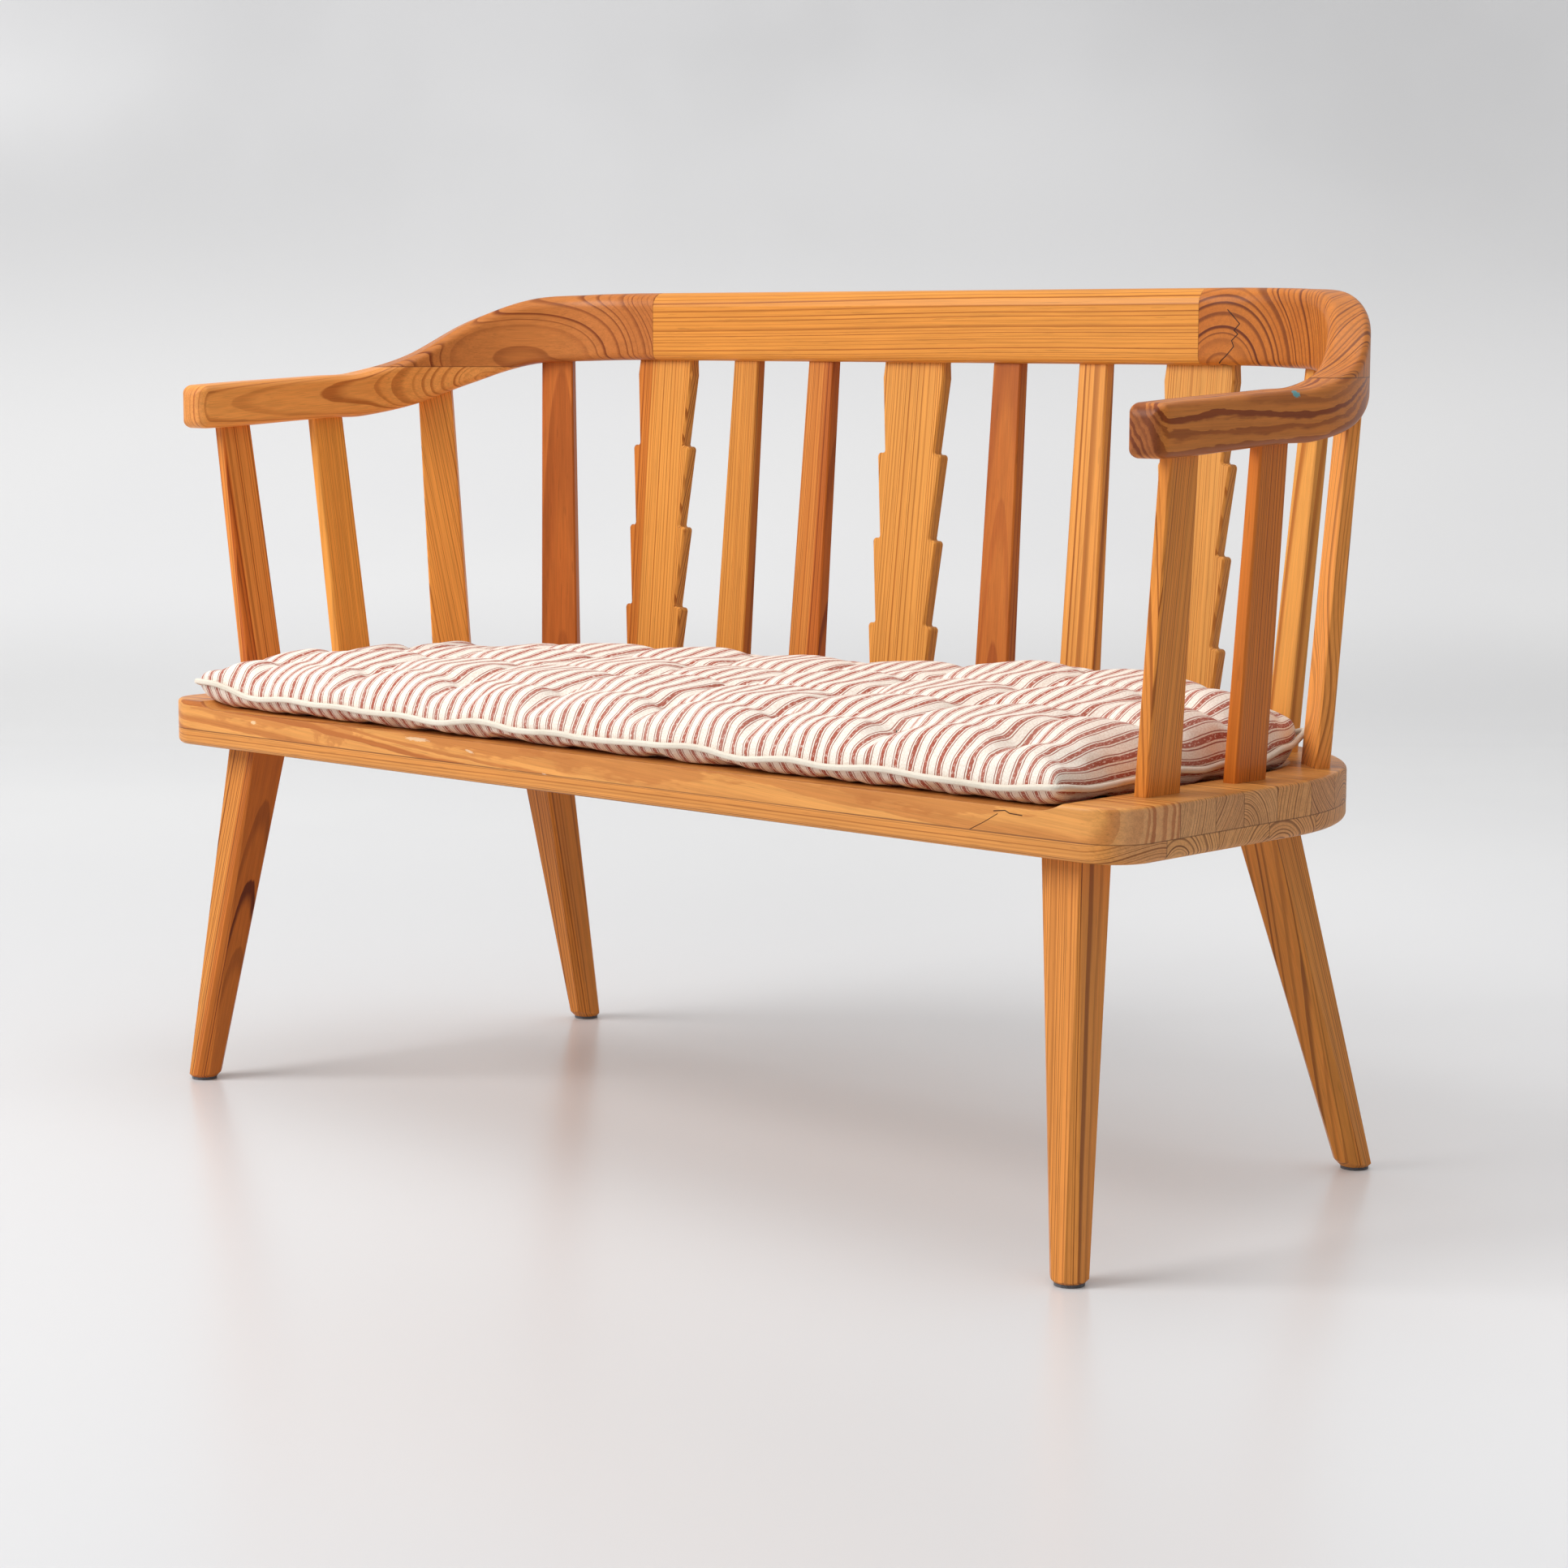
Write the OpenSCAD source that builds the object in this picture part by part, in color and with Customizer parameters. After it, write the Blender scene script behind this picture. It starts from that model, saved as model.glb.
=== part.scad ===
// Pine settee with splayed legs, a spindle back with stepped splats,
// a glued U-shaped arm and back rail, and a loose tufted seat cushion.
// Millimetres. X runs along the seat, Y from front to back, Z up from the floor.
// The seat's front edge is Y = 0 in every module, and placed() moves it into the frame.

/* [Seat slab] */

// Length of the seat over its two ends
seat_length = 1266; // [1000:1:1600]
// Depth of the seat from front to back
seat_depth = 490; // [400:1:600]
// Height of the seat's rim above the floor
seat_height = 401; // [350:1:460]
// Thickness of the upper layer of staves
upper_layer_t = 30; // [20:1:40]
// Thickness of the lower layer of staves
lower_layer_t = 17; // [12:1:30]
// Plan radius of the two front corners
front_corner_r = 42; // [10:1:80]
// Plan radius of the two back corners
back_corner_r = 245; // [120:1:245]
// Rounding along the top outer edge
seat_top_round = 4; // [1:0.5:10]
// Rounding along the bottom outer edge
seat_bottom_round = 6; // [1:0.5:12]
// Depth of the dished sitting surface below the rim
dish_depth = 7.5; // [3:0.5:12]
// Width of the hollow ramp around the dish
dish_ramp_w = 28; // [10:1:50]
// Distance from the line of slat feet in to the dish
dish_margin = 20; // [10:1:40]
// Widths of the upper layer's staves, from the front, before trimming to the seat's depth
upper_stave_w = [79, 49, 40, 48, 52, 50, 48, 48, 76]; // [30:1:120]
// Widths of the lower layer's staves, from the front, before trimming to the seat's depth
lower_stave_w = [61, 72, 72, 72, 72, 72, 69]; // [30:1:120]

/* [Line of slat feet] */

// Distance of the slat feet in from the seat's ends
foot_line_inset = 42.5; // [25:1:80]
// Plan radius of the line where it turns the back corners
foot_line_r = 170; // [80:1:240]
// Depth of each slat's socket in the seat
seat_socket_depth = 20; // [10:1:25]
// Depth of each slat's socket in the rail
rail_socket_depth = 22; // [10:1:30]

/* [Slats] */

// Thickness of a slat at the seat
slat_t_foot = 14; // [10:0.5:20]
// Thickness of a slat at the rail
slat_t_head = 12.5; // [8:0.5:20]
// Bevel along a slat's four long edges
slat_bevel = 1.5; // [0.5:0.1:3]
// Widths of the arm slats at the seat, from the front one round to the back
arm_slat_w_foot = [47, 45.3, 42.4, 42]; // [30:0.1:60]
// Widths of the arm slats at the rail, from the front one round to the back
arm_slat_w_head = [38.3, 39.5, 37, 35.5]; // [25:0.1:60]
// Distances of the first two arm slats' feet behind the front edge
arm_slat_foot_y = [103, 227]; // [60:1:300]
// Distances of the first two arm slats' heads behind the front edge
arm_slat_head_y = [88.5, 214]; // [60:1:300]
// Angles of the two corner slats' feet around the corner of the foot line
corner_slat_foot_a = [27.1, 68.1]; // [0:0.1:90]
// Distances of the corner slats' feet outside the foot line
corner_slat_foot_out = [3.5, -0.6]; // [-8:0.1:8]
// Angles of the two corner slats' heads around the corner of the rail
corner_slat_head_a = [26.3, 61.9]; // [0:0.1:90]
// Distances of the corner slats' heads outside the rail's centre line
corner_slat_head_out = [3.2, 0.8]; // [-8:0.1:8]
// Distance of the first two arm slats' heads inside the rail's centre line
arm_slat_head_in = 2.5; // [0:0.5:8]
// Turn of each arm slat's broad face away from straight ahead
arm_slat_turn = [90, 90, 38, 28]; // [0:1:90]
// Width of a back slat at the seat
back_slat_w_foot = 43; // [30:1:60]
// Width of a back slat at the rail
back_slat_w_head = 35; // [25:0.1:60]
// Places of the back slats' feet, inner and outer pair, as shares of the way to a butt joint
back_slat_foot_at = [0.351, 0.645]; // [0.1:0.001:0.9]
// Places of the back slats' heads, inner and outer pair, as shares of the way to a butt joint
back_slat_head_at = [0.343, 0.639]; // [0.1:0.001:0.9]
// Distance of the back slats' heads in front of the rail's centre line
back_slat_head_in = 4.5; // [0:0.5:8]

/* [Stepped splats] */

// Distance of the two outer splats from the butt joints in the rail
splat_from_joint = 7; // [0:1:30]
// Thickness of a splat
splat_t = 14; // [10:0.5:20]
// Distance of the splats behind the line of the back slats
splat_set_back = 4; // [0:0.5:8]
// Bevel around a splat's outline
splat_bevel = 2; // [0.5:0.5:4]
// Heights of the three steps above the floor
splat_steps = [487, 573.5, 660]; // [420:1:740]
// Half width at the wide end of each tapered length
splat_wide = 42.5; // [25:0.5:50]
// Half width at the narrow end of each tapered length
splat_narrow = 34; // [15:0.5:45]
// Half width at the foot of the top length
splat_neck = 33.5; // [15:0.5:45]
// Half width where a splat enters the rail
splat_head = 39.5; // [20:0.5:45]
// Rounding of each step's shoulder
splat_shoulder_r = 4; // [1:0.5:6]
// Hollow rounding above each step
splat_hollow_r = 2.5; // [1:0.5:4]

/* [Arm and back rail] */

// Distance of the arms' centre lines inside the seat's ends
rail_inset_x = 12; // [0:1:60]
// Distance of the back rail's centre line inside the seat's back edge
rail_inset_y = 11; // [0:1:60]
// Plan radius of the rail's centre line at the corners
rail_corner_r = 221; // [120:1:260]
// Width of the rail across its top
rail_w = 38; // [28:1:60]
// Distance of the arm tips behind the seat's front edge
arm_tip_y = 35; // [0:1:80]
// Top of the rail at the tip, two slats, six even steps round the corner, and the joint
rail_tops = [726, 729, 735, 737.5, 755.5, 793.5, 817.5, 822.5, 824, 824]; // [700:0.5:860]
// Underside of the rail at the same ten places
rail_undersides = [681, 683, 690, 691, 702.5, 725.5, 746.5, 750.5, 752, 752]; // [650:0.5:800]
// Height of the flat glue joint between the upper and lower arm blocks
glue_plane_z = 744; // [730:1:748]
// Distance from the butt joints in the back rail to the seat's ends
butt_joint_inset = 270; // [240:1:380]
// Rounding of the rail's edges
rail_edge_r = 8; // [3:0.5:12]
// Rounding of the back rail's upper front edge
rail_front_edge_r = 15; // [3:0.5:16]
// Rounding around the arm tips
arm_tip_r = 12; // [3:0.5:16]

/* [Dowels in the butt joints] */

// Diameter of a dowel
dowel_d = 10; // [6:1:12]
// Length of a dowel
dowel_length = 60; // [30:1:80]
// Heights of the two dowels in each joint
dowel_zs = [788, 806]; // [770:1:815]

/* [Legs] */

// Distance of a front foot's centre inside the seat's end
front_foot_inset = 52; // [0:1:150]
// Distance of a front foot's centre behind the front edge
front_foot_y = 6; // [-60:1:100]
// Distance of a front leg's top inside the seat's end
front_leg_top_inset = 89.5; // [60:0.5:200]
// Distance of a front leg's top behind the front edge
front_leg_top_y = 56; // [20:1:120]
// Distance of a back foot's centre inside the seat's end
back_foot_inset = 108; // [20:1:200]
// Distance of a back foot's centre behind the seat's back edge
back_foot_out = 19; // [-40:1:60]
// Distance of a back leg's top inside the seat's end
back_leg_top_inset = 148; // [100:1:240]
// Distance of a back leg's top in front of the seat's back edge
back_leg_top_in = 87; // [50:1:150]
// Width of a leg's square top
leg_top_w = 42; // [30:1:60]
// Width across the flats of the eight-sided foot
leg_foot_w = 31; // [20:1:50]
// Bevel around the end of the foot
foot_bevel = 2; // [0.5:0.5:4]
// Diameter of the round tenon on top of each leg
tenon_d = 28; // [18:1:34]
// Length of the tenon
tenon_length = 26; // [15:1:28]
// Diameter of a felt glide
glide_d = 26; // [15:1:27]
// Thickness of a felt glide
glide_t = 3; // [1:0.5:5]

/* [Seat cushion] */

// How much shorter than the seat the cushion is between its end seams
cushion_short = 130; // [110:1:400]
// How much shallower than the seat the cushion is between its front and back seams
cushion_shallow = 96; // [80:1:200]
// Distance of the front seam behind the seat's front edge
cushion_front_y = 6; // [0:1:40]
// Sideways offset of the loose cushion
cushion_shift_x = -7; // [-20:1:20]
// Sideways drift of the cushion's back against its front
cushion_drift_x = 7.5; // [-10:0.5:10]
// Height of the seam above the bottom of the cushion
cushion_seam_h = 16; // [10:1:30]
// Height of the top swell above the seam
cushion_crown_h = 41; // [15:1:60]
// Extra swell towards the back and the right, where the cushion rides up
cushion_back_rise = 17; // [0:1:30]
// Rise of the seam from front to back
cushion_seam_rise = 5; // [0:1:12]
// Width of the rounded swell inside the seam, above it and below it
cushion_swell_w = [80, 36]; // [20:1:120]
// Columns and rows of tufts
cushion_tufts = [8, 4]; // [1:1:12]
// Spacing of the tufts along and across
tuft_pitch = [140, 96]; // [60:1:200]
// Depth and spread of a tuft's dimple
tuft_dimple = [18, 24]; // [5:1:40]
// Diameter of the piping cord round the seam
piping_d = 7; // [4:0.5:10]

/* [Hidden] */

overlap = 1;
curve_fn = 96;
seat_half = seat_length / 2;
glue_z = seat_height - upper_layer_t;
function total(list, n) = n == 0 ? 0 : list[n - 1] + total(list, n - 1);
function joint_lines(widths) = let (k = len(widths), share = seat_depth / total(widths, k))
    [for (i = [1 : k - 1]) share * total(widths, i)];
upper_joints = joint_lines(upper_stave_w);
lower_joints = joint_lines(lower_stave_w);
seat_under = glue_z - lower_layer_t;
dish_z = seat_height - dish_depth;
foot_line_x = seat_half - foot_line_inset;
foot_line_y = seat_depth - foot_line_inset;
foot_line_c = [foot_line_x - foot_line_r, foot_line_y - foot_line_r];
dish_r = foot_line_r - dish_margin;
corner_slat_foot_r = [for (d = corner_slat_foot_out) foot_line_r + d];
rail_x = seat_half - rail_inset_x;
rail_y = seat_depth - rail_inset_y;
butt_joint_x = seat_half - butt_joint_inset;
splat_x = butt_joint_x - splat_from_joint;
back_slat_foot_x = butt_joint_x * back_slat_foot_at;
back_slat_head_x = butt_joint_x * back_slat_head_at;
back_foot_y = seat_depth + back_foot_out;
cushion_length = seat_length - cushion_short;
cushion_depth = seat_depth - cushion_shallow;
rail_c = [rail_x - rail_corner_r, rail_y - rail_corner_r];
corner_slat_head_r = [for (d = corner_slat_head_out) rail_corner_r + d];
arm_run = rail_c.y - arm_tip_y;
arc_run = rail_corner_r * PI / 2;
rail_run = arm_run + arc_run + rail_c.x - butt_joint_x;
rail_stations = [
    0,
    arm_slat_head_y[0] - arm_tip_y,
    arm_slat_head_y[1] - arm_tip_y,
    for (i = [0 : 5]) arm_run + arc_run * i / 5,
    rail_run,
];
butt_under = rail_undersides[9];
butt_top = rail_tops[9];
tenon_chamfer = 1;
tenon_end_gap = 1;
dowel_end_gap = 1;
leg_cut = 20;
piping_sides = 8;
piping_stations = 76;
piping_sink = 1;
cushion_clear = 0.4;
seam_rings = [0, 4, 12, 28, 50];
cushion_corner_pull = [0.1, 0.385];
cushion_c = [cushion_shift_x, cushion_front_y + cushion_depth / 2];
cushion_seam_z = dish_z + cushion_clear + cushion_seam_h;
corner_lift = 12;
frame_y = (front_foot_y + back_foot_y) / 2;

// Small helpers

module placed() {
    translate([0, -frame_y, 0]) children();
}

module both_sides() {
    children();
    mirror([1, 0, 0]) children();
}

module run_x(x0, x1) {
    translate([x0, 0, 0]) rotate([90, 0, 90]) linear_extrude(x1 - x0) children();
}

module run_y(y0, y1) {
    translate([0, y1, 0]) rotate([90, 0, 0]) linear_extrude(y1 - y0) children();
}

function mix(a, b, t) = a + (b - a) * t;
function arc(c, r, a0, a1, n) =
    [for (i = [0 : n]) let (a = mix(a0, a1, i / n)) c + r * [cos(a), sin(a)]];

// Smooth curve through values at unevenly spaced stations
function slope(xs, ys, i) =
    let (a = max(i - 1, 0), b = min(i + 1, len(xs) - 1))
    (ys[b] - ys[a]) / (xs[b] - xs[a]);
function span(xs, x, i = 0) = i >= len(xs) - 2 || x < xs[i + 1] ? i : span(xs, x, i + 1);
function curve(xs, ys, x) =
    let (i = span(xs, x), h = xs[i + 1] - xs[i], t = (x - xs[i]) / h)
    let (m0 = slope(xs, ys, i) * h, m1 = slope(xs, ys, i + 1) * h)
    (2 * t * t * t - 3 * t * t + 1) * ys[i] + (t * t * t - 2 * t * t + t) * m0
    + (3 * t * t - 2 * t * t * t) * ys[i + 1] + (t * t * t - t * t) * m1;

// Triangles over rows of points, joined from row to row
function row_faces(rows, n) = [
    for (k = [0 : rows - 2], j = [0 : n - 1])
        let (a = k * n + j, b = k * n + (j + 1) % n, c = b + n, d = a + n)
        each [[a, d, b], [b, d, c]]
];

// A bar along a sloping line, tapered in width and thickness, with bevelled long edges
module bar_between(foot, head, turn, foot_size, head_size, bevel, below, above) {
    run = head - foot;
    length = norm(run);
    tilt_x = -asin(run.y / length);
    tilt_y = atan2(run.x, run.z);
    translate(foot) rotate([tilt_x, tilt_y, 0]) rotate([0, 0, turn])
        intersection_for (side = [0 : 3]) {
            foot_half = side % 2 == 0 ? foot_size[side / 2] / 2
                : (foot_size.x + foot_size.y - 2 * bevel) / sqrt(8);
            head_half = side % 2 == 0 ? head_size[side / 2] / 2
                : (head_size.x + head_size.y - 2 * bevel) / sqrt(8);
            low = foot_half - (head_half - foot_half) * below / length;
            high = head_half + (head_half - foot_half) * above / length;
            reach = foot_size.x + foot_size.y;
            rotate([0, 0, 45 * side]) rotate([90, 0, 0])
                translate([0, 0, -reach]) linear_extrude(2 * reach)
                    polygon([
                        [-low, -below],
                        [low, -below],
                        [high, length + above],
                        [-high, length + above],
                    ]);
        }
}

// Seat slab

function edge_profile(w, z0, z1, r0, r1) = concat(
    [[0, z0]],
    r0 > 0 ? arc([w - r0, z0 + r0], r0, -90, 0, 4) : [[w, z0]],
    r1 > 0 ? arc([w - r1, z1 - r1], r1, 0, 90, 4) : [[w, z1]],
    [[0, z1]]
);

// One layer of the seat: straight back, large back corners, small front corners
module seat_layer(z0, z1, r0, r1) {
    back_x = seat_half - back_corner_r;
    back_y = seat_depth - back_corner_r;
    front_x = seat_half - front_corner_r;
    both_sides() {
        run_y(front_corner_r, back_y)
            translate([back_x, 0]) polygon(edge_profile(back_corner_r, z0, z1, r0, r1));
        translate([back_x, back_y, 0]) rotate_extrude(angle = 90, $fn = curve_fn)
            polygon(edge_profile(back_corner_r, z0, z1, r0, r1));
        translate([front_x, front_corner_r, 0]) rotate([0, 0, -90])
            rotate_extrude(angle = 90, $fn = curve_fn)
                polygon(edge_profile(front_corner_r, z0, z1, r0, r1));
    }
    run_x(-back_x, back_x)
        translate([back_y, 0]) polygon(edge_profile(back_corner_r, z0, z1, r0, r1));
    translate([0, front_corner_r, 0]) mirror([0, 1, 0]) run_x(-front_x, front_x)
        polygon(edge_profile(front_corner_r, z0, z1, r0, r1));
    translate([-back_x, front_corner_r, z0])
        cube([2 * back_x, back_y - front_corner_r, z1 - z0]);
}

// Room above the dished sitting surface, open at the front
module dish_room() {
    ramp_r = (dish_ramp_w * dish_ramp_w + dish_depth * dish_depth) / (2 * dish_depth);
    ramp_a = asin(dish_ramp_w / ramp_r);
    ramp = arc([dish_r - dish_ramp_w, dish_z + ramp_r], ramp_r, -90, ramp_a - 90, 6);
    top = seat_height + overlap;
    profile = concat([[0, dish_z]], ramp, [[dish_r, top], [0, top]]);
    both_sides() {
        run_y(-overlap, foot_line_c.y) translate([foot_line_c.x, 0]) polygon(profile);
        translate([foot_line_c.x, foot_line_c.y, 0])
            rotate_extrude(angle = 90, $fn = curve_fn) polygon(profile);
    }
    run_x(-foot_line_c.x, foot_line_c.x) translate([foot_line_c.y, 0]) polygon(profile);
    translate([-foot_line_c.x, -overlap, dish_z])
        cube([2 * foot_line_c.x, foot_line_c.y + overlap, top - dish_z]);
}

module stave(joints, k) {
    y0 = k == 0 ? -overlap : joints[k - 1];
    y1 = k == len(joints) ? seat_depth + overlap : joints[k];
    intersection() {
        children();
        translate([-seat_half - overlap, y0, seat_under - overlap])
            cube([seat_length + 2 * overlap, y1 - y0, seat_height]);
    }
}

module seat_upper_stave(k) {
    color("burlywood") placed() difference() {
        stave(upper_joints, k) seat_layer(glue_z, seat_height, 0, seat_top_round);
        dish_room();
        upright_sockets();
        both_sides() {
            leg_tenon(front_foot, front_top, tenon_end_gap);
            leg_tenon(back_foot, back_top, tenon_end_gap);
        }
    }
}

module seat_lower_stave(k) {
    color("peru") placed() difference() {
        stave(lower_joints, k) seat_layer(seat_under, glue_z, seat_bottom_round, 0);
        both_sides() {
            leg_tenon(front_foot, front_top, tenon_end_gap);
            leg_tenon(back_foot, back_top, tenon_end_gap);
        }
    }
}

// Legs

front_foot = [seat_half - front_foot_inset, front_foot_y, 0];
front_top = [seat_half - front_leg_top_inset, front_leg_top_y, seat_under];
back_foot = [seat_half - back_foot_inset, back_foot_y, 0];
back_top = [seat_half - back_leg_top_inset, seat_depth - back_leg_top_in, seat_under];

module along_leg(foot, top) {
    run = top - foot;
    translate(top) rotate([-asin(run.y / norm(run)), atan2(run.x, run.z), 0]) children();
}

module leg_tenon(foot, top, end_gap) {
    r = tenon_d / 2;
    end = tenon_length + end_gap;
    tip = tenon_chamfer;
    along_leg(foot, top) rotate_extrude($fn = 48)
        polygon([[0, -leg_cut], [r, -leg_cut], [r, end - tip], [r - tip, end], [0, end]]);
}

// Square at the seat, growing bevels down to an eight-sided foot
module leg_body(foot, top) {
    square_bevel = 0.5;
    run = top - foot;
    length = norm(run);
    intersection() {
        along_leg(foot, top) translate([0, 0, -length])
            intersection_for (side = [0 : 3]) {
                low = leg_foot_w / 2;
                high = side % 2 == 0 ? leg_top_w / 2
                    : leg_top_w / sqrt(2) - square_bevel;
                rise = (high - low) / length;
                rotate([0, 0, 45 * side]) rotate([90, 0, 0])
                    translate([0, 0, -leg_top_w]) linear_extrude(2 * leg_top_w)
                        polygon([
                            [rise * leg_cut - low, -leg_cut],
                            [low - rise * leg_cut, -leg_cut],
                            [high + rise * leg_cut, length + leg_cut],
                            [-high - rise * leg_cut, length + leg_cut],
                        ]);
            }
        translate([foot.x - seat_half, foot.y - seat_half, glide_t])
            cube([seat_length, seat_length, seat_under - glide_t]);
        translate([foot.x, foot.y, glide_t])
            cylinder(h = length, r1 = leg_foot_w / 2 - foot_bevel,
                r2 = leg_foot_w / 2 - foot_bevel + length, $fn = 48);
    }
}

module leg(foot, top) {
    color("sandybrown") placed() union() {
        leg_body(foot, top);
        intersection() {
            leg_tenon(foot, top, 0);
            translate([top.x - leg_top_w, top.y - leg_top_w, seat_under - overlap])
                cube([2 * leg_top_w, 2 * leg_top_w, leg_top_w]);
        }
    }
}

module leg_front_right() leg(front_foot, front_top);
module leg_front_left() mirror([1, 0, 0]) leg(front_foot, front_top);
module leg_back_right() leg(back_foot, back_top);
module leg_back_left() mirror([1, 0, 0]) leg(back_foot, back_top);

module felt_glides() {
    color("dimgray") placed() both_sides() {
        translate(front_foot) cylinder(h = glide_t, d = glide_d, $fn = 48);
        translate(back_foot) cylinder(h = glide_t, d = glide_d, $fn = 48);
    }
}

// Slats of the arms and back

function foot_at(k) = k < 2
    ? [foot_line_x, arm_slat_foot_y[k], seat_height]
    : [
        foot_line_c.x + corner_slat_foot_r[k - 2] * cos(corner_slat_foot_a[k - 2]),
        foot_line_c.y + corner_slat_foot_r[k - 2] * sin(corner_slat_foot_a[k - 2]),
        seat_height,
    ];
function head_station(k) = k < 2 ? arm_slat_head_y[k] - arm_tip_y
    : arm_run + arc_run * corner_slat_head_a[k - 2] / 90;
function head_z(k) = curve(rail_stations, rail_undersides, head_station(k));
function head_at(k) = k < 2
    ? [rail_x - arm_slat_head_in, arm_slat_head_y[k], head_z(k)]
    : [
        rail_c.x + corner_slat_head_r[k - 2] * cos(corner_slat_head_a[k - 2]),
        rail_c.y + corner_slat_head_r[k - 2] * sin(corner_slat_head_a[k - 2]),
        head_z(k),
    ];

module arm_slat_solid(k) {
    bar_between(foot_at(k), head_at(k), -arm_slat_turn[k],
        [arm_slat_w_foot[k], slat_t_foot], [arm_slat_w_head[k], slat_t_head],
        slat_bevel, seat_socket_depth, rail_socket_depth);
}

module back_slat_solid(k) {
    bar_between([back_slat_foot_x[k], foot_line_y, seat_height],
        [back_slat_head_x[k], rail_y - back_slat_head_in, butt_under], 0,
        [back_slat_w_foot, slat_t_foot], [back_slat_w_head, slat_t_head],
        slat_bevel, seat_socket_depth, rail_socket_depth);
}

module arm_slat(k) color("orange") placed() arm_slat_solid(k);
module back_slat(k) color("goldenrod") placed() back_slat_solid(k);

// Splats with three steps down each side

back_run = [0, rail_y - back_slat_head_in - foot_line_y, butt_under - seat_height];
splat_length = norm(back_run);
splat_shank = 2;
splat_swell = 1.5;
function splat_step(z, narrow) =
    let (s = (z - seat_height) * splat_length / back_run.z)
    concat(
        arc([splat_wide - splat_shoulder_r, s - splat_shoulder_r], splat_shoulder_r, 0, 90, 4),
        arc([narrow + splat_hollow_r, s + splat_hollow_r], splat_hollow_r, 270, 180, 3)
    );
splat_edge = concat(
    [[splat_narrow, -seat_socket_depth], [splat_narrow, splat_shank]],
    splat_step(splat_steps[0], splat_narrow),
    splat_step(splat_steps[1], splat_narrow),
    splat_step(splat_steps[2], splat_neck),
    [
        [splat_head + splat_swell, splat_length - 16],
        [splat_head, splat_length - splat_shank],
        [splat_head, splat_length + rail_socket_depth],
    ]
);
function left_of(d) = [-d.y, d.x] / norm(d);
function inset_edge(points, amount) = [
    for (i = [0 : len(points) - 1])
        let (a = points[max(i - 1, 0)], b = points[min(i + 1, len(points) - 1)])
        i == 0 ? points[i] + [-amount, 0]
            : i == len(points) - 1 ? points[i] + [-amount, 0]
            : points[i] + amount * left_of(b - a)
];
function outline(points) = concat(points, [
    for (i = [len(points) - 1 : -1 : 0]) [-points[i].x, points[i].y]
]);

module splat_solid() {
    n = 2 * len(splat_edge);
    half = splat_t / 2;
    inner = outline(inset_edge(splat_edge, splat_bevel));
    outer = outline(splat_edge);
    points = concat(
        [for (p = inner) [p.x, p.y, -half]],
        [for (p = outer) [p.x, p.y, splat_bevel - half]],
        [for (p = outer) [p.x, p.y, half - splat_bevel]],
        [for (p = inner) [p.x, p.y, half]]
    );
    m = n / 2;
    caps = [
        for (i = [0 : m - 2])
            each [
                [i, i + 1, n - 1 - i],
                [i + 1, n - 2 - i, n - 1 - i],
                [i + 3 * n, 4 * n - 1 - i, i + 1 + 3 * n],
                [i + 1 + 3 * n, 4 * n - 1 - i, 4 * n - 2 - i],
            ]
    ];
    along_splat() polyhedron(points, concat(row_faces(4, n), caps));
}

module along_splat() {
    translate([0, foot_line_y + splat_set_back, seat_height])
        rotate([90 - asin(back_run.y / splat_length), 0, 0]) children();
}

// The bevelled ends of a splat that its two sockets are cut to
module splat_ends() {
    half = splat_t / 2;
    b = splat_bevel;
    for (e = [[splat_narrow, -seat_socket_depth, splat_shank],
            [splat_head, splat_length - splat_shank, splat_length + rail_socket_depth]])
        along_splat() translate([0, e[1], 0]) rotate([-90, 0, 0])
            linear_extrude(e[2] - e[1]) polygon([
                [b - e[0], -half],
                [e[0] - b, -half],
                [e[0], b - half],
                [e[0], half - b],
                [e[0] - b, half],
                [b - e[0], half],
                [-e[0], half - b],
                [-e[0], b - half],
            ]);
}

module splat(x) color("gold") placed() translate([x, 0, 0]) splat_solid();
module splat_left() splat(-splat_x);
module splat_centre() splat(0);
module splat_right() splat(splat_x);

// Room for everything that stands in the seat and rises into the rail
module upright_sockets() {
    both_sides() {
        for (k = [0 : 3]) arm_slat_solid(k);
        for (k = [0 : 1]) back_slat_solid(k);
        translate([splat_x, 0, 0]) splat_ends();
    }
    splat_ends();
}

// Arm and back rail

// Cross-section with four rounded corners, outer side first
function rail_section(z0, z1, r, front_r, inset) =
    let (w = rail_w / 2 - inset, a = z0 + inset, b = z1 - inset)
    let (q = max(r - inset, 0.5), f = max(front_r - inset, 0.5))
    concat(
        arc([w - q, a + q], q, -90, 0, 4),
        arc([w - q, b - q], q, 0, 90, 4),
        arc([f - w, b - f], f, 90, 180, 4),
        arc([q - w, a + q], q, 180, 270, 4)
    );

function rail_point(s) = s < arm_run ? [rail_x, arm_tip_y + s]
    : s < arm_run + arc_run
        ? rail_c + rail_corner_r * [cos((s - arm_run) / arc_run * 90),
            sin((s - arm_run) / arc_run * 90)]
        : [rail_c.x - (s - arm_run - arc_run), rail_y];
function rail_outward(s) =
    let (a = min(max((s - arm_run) / arc_run, 0), 1) * 90) [cos(a), sin(a)];

function rail_ring(s) =
    let (tip = min(s, arm_tip_r), inset = arm_tip_r - sqrt(tip * (2 * arm_tip_r - tip)))
    let (t = min(max((s - arm_run) / arc_run, 0), 1))
    [
        for (p = rail_section(curve(rail_stations, rail_undersides, s),
                curve(rail_stations, rail_tops, s), rail_edge_r,
                mix(rail_edge_r, rail_front_edge_r, t), inset))
            let (c = rail_point(s) + p.x * rail_outward(s)) [c.x, c.y, p.y]
    ];

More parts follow.
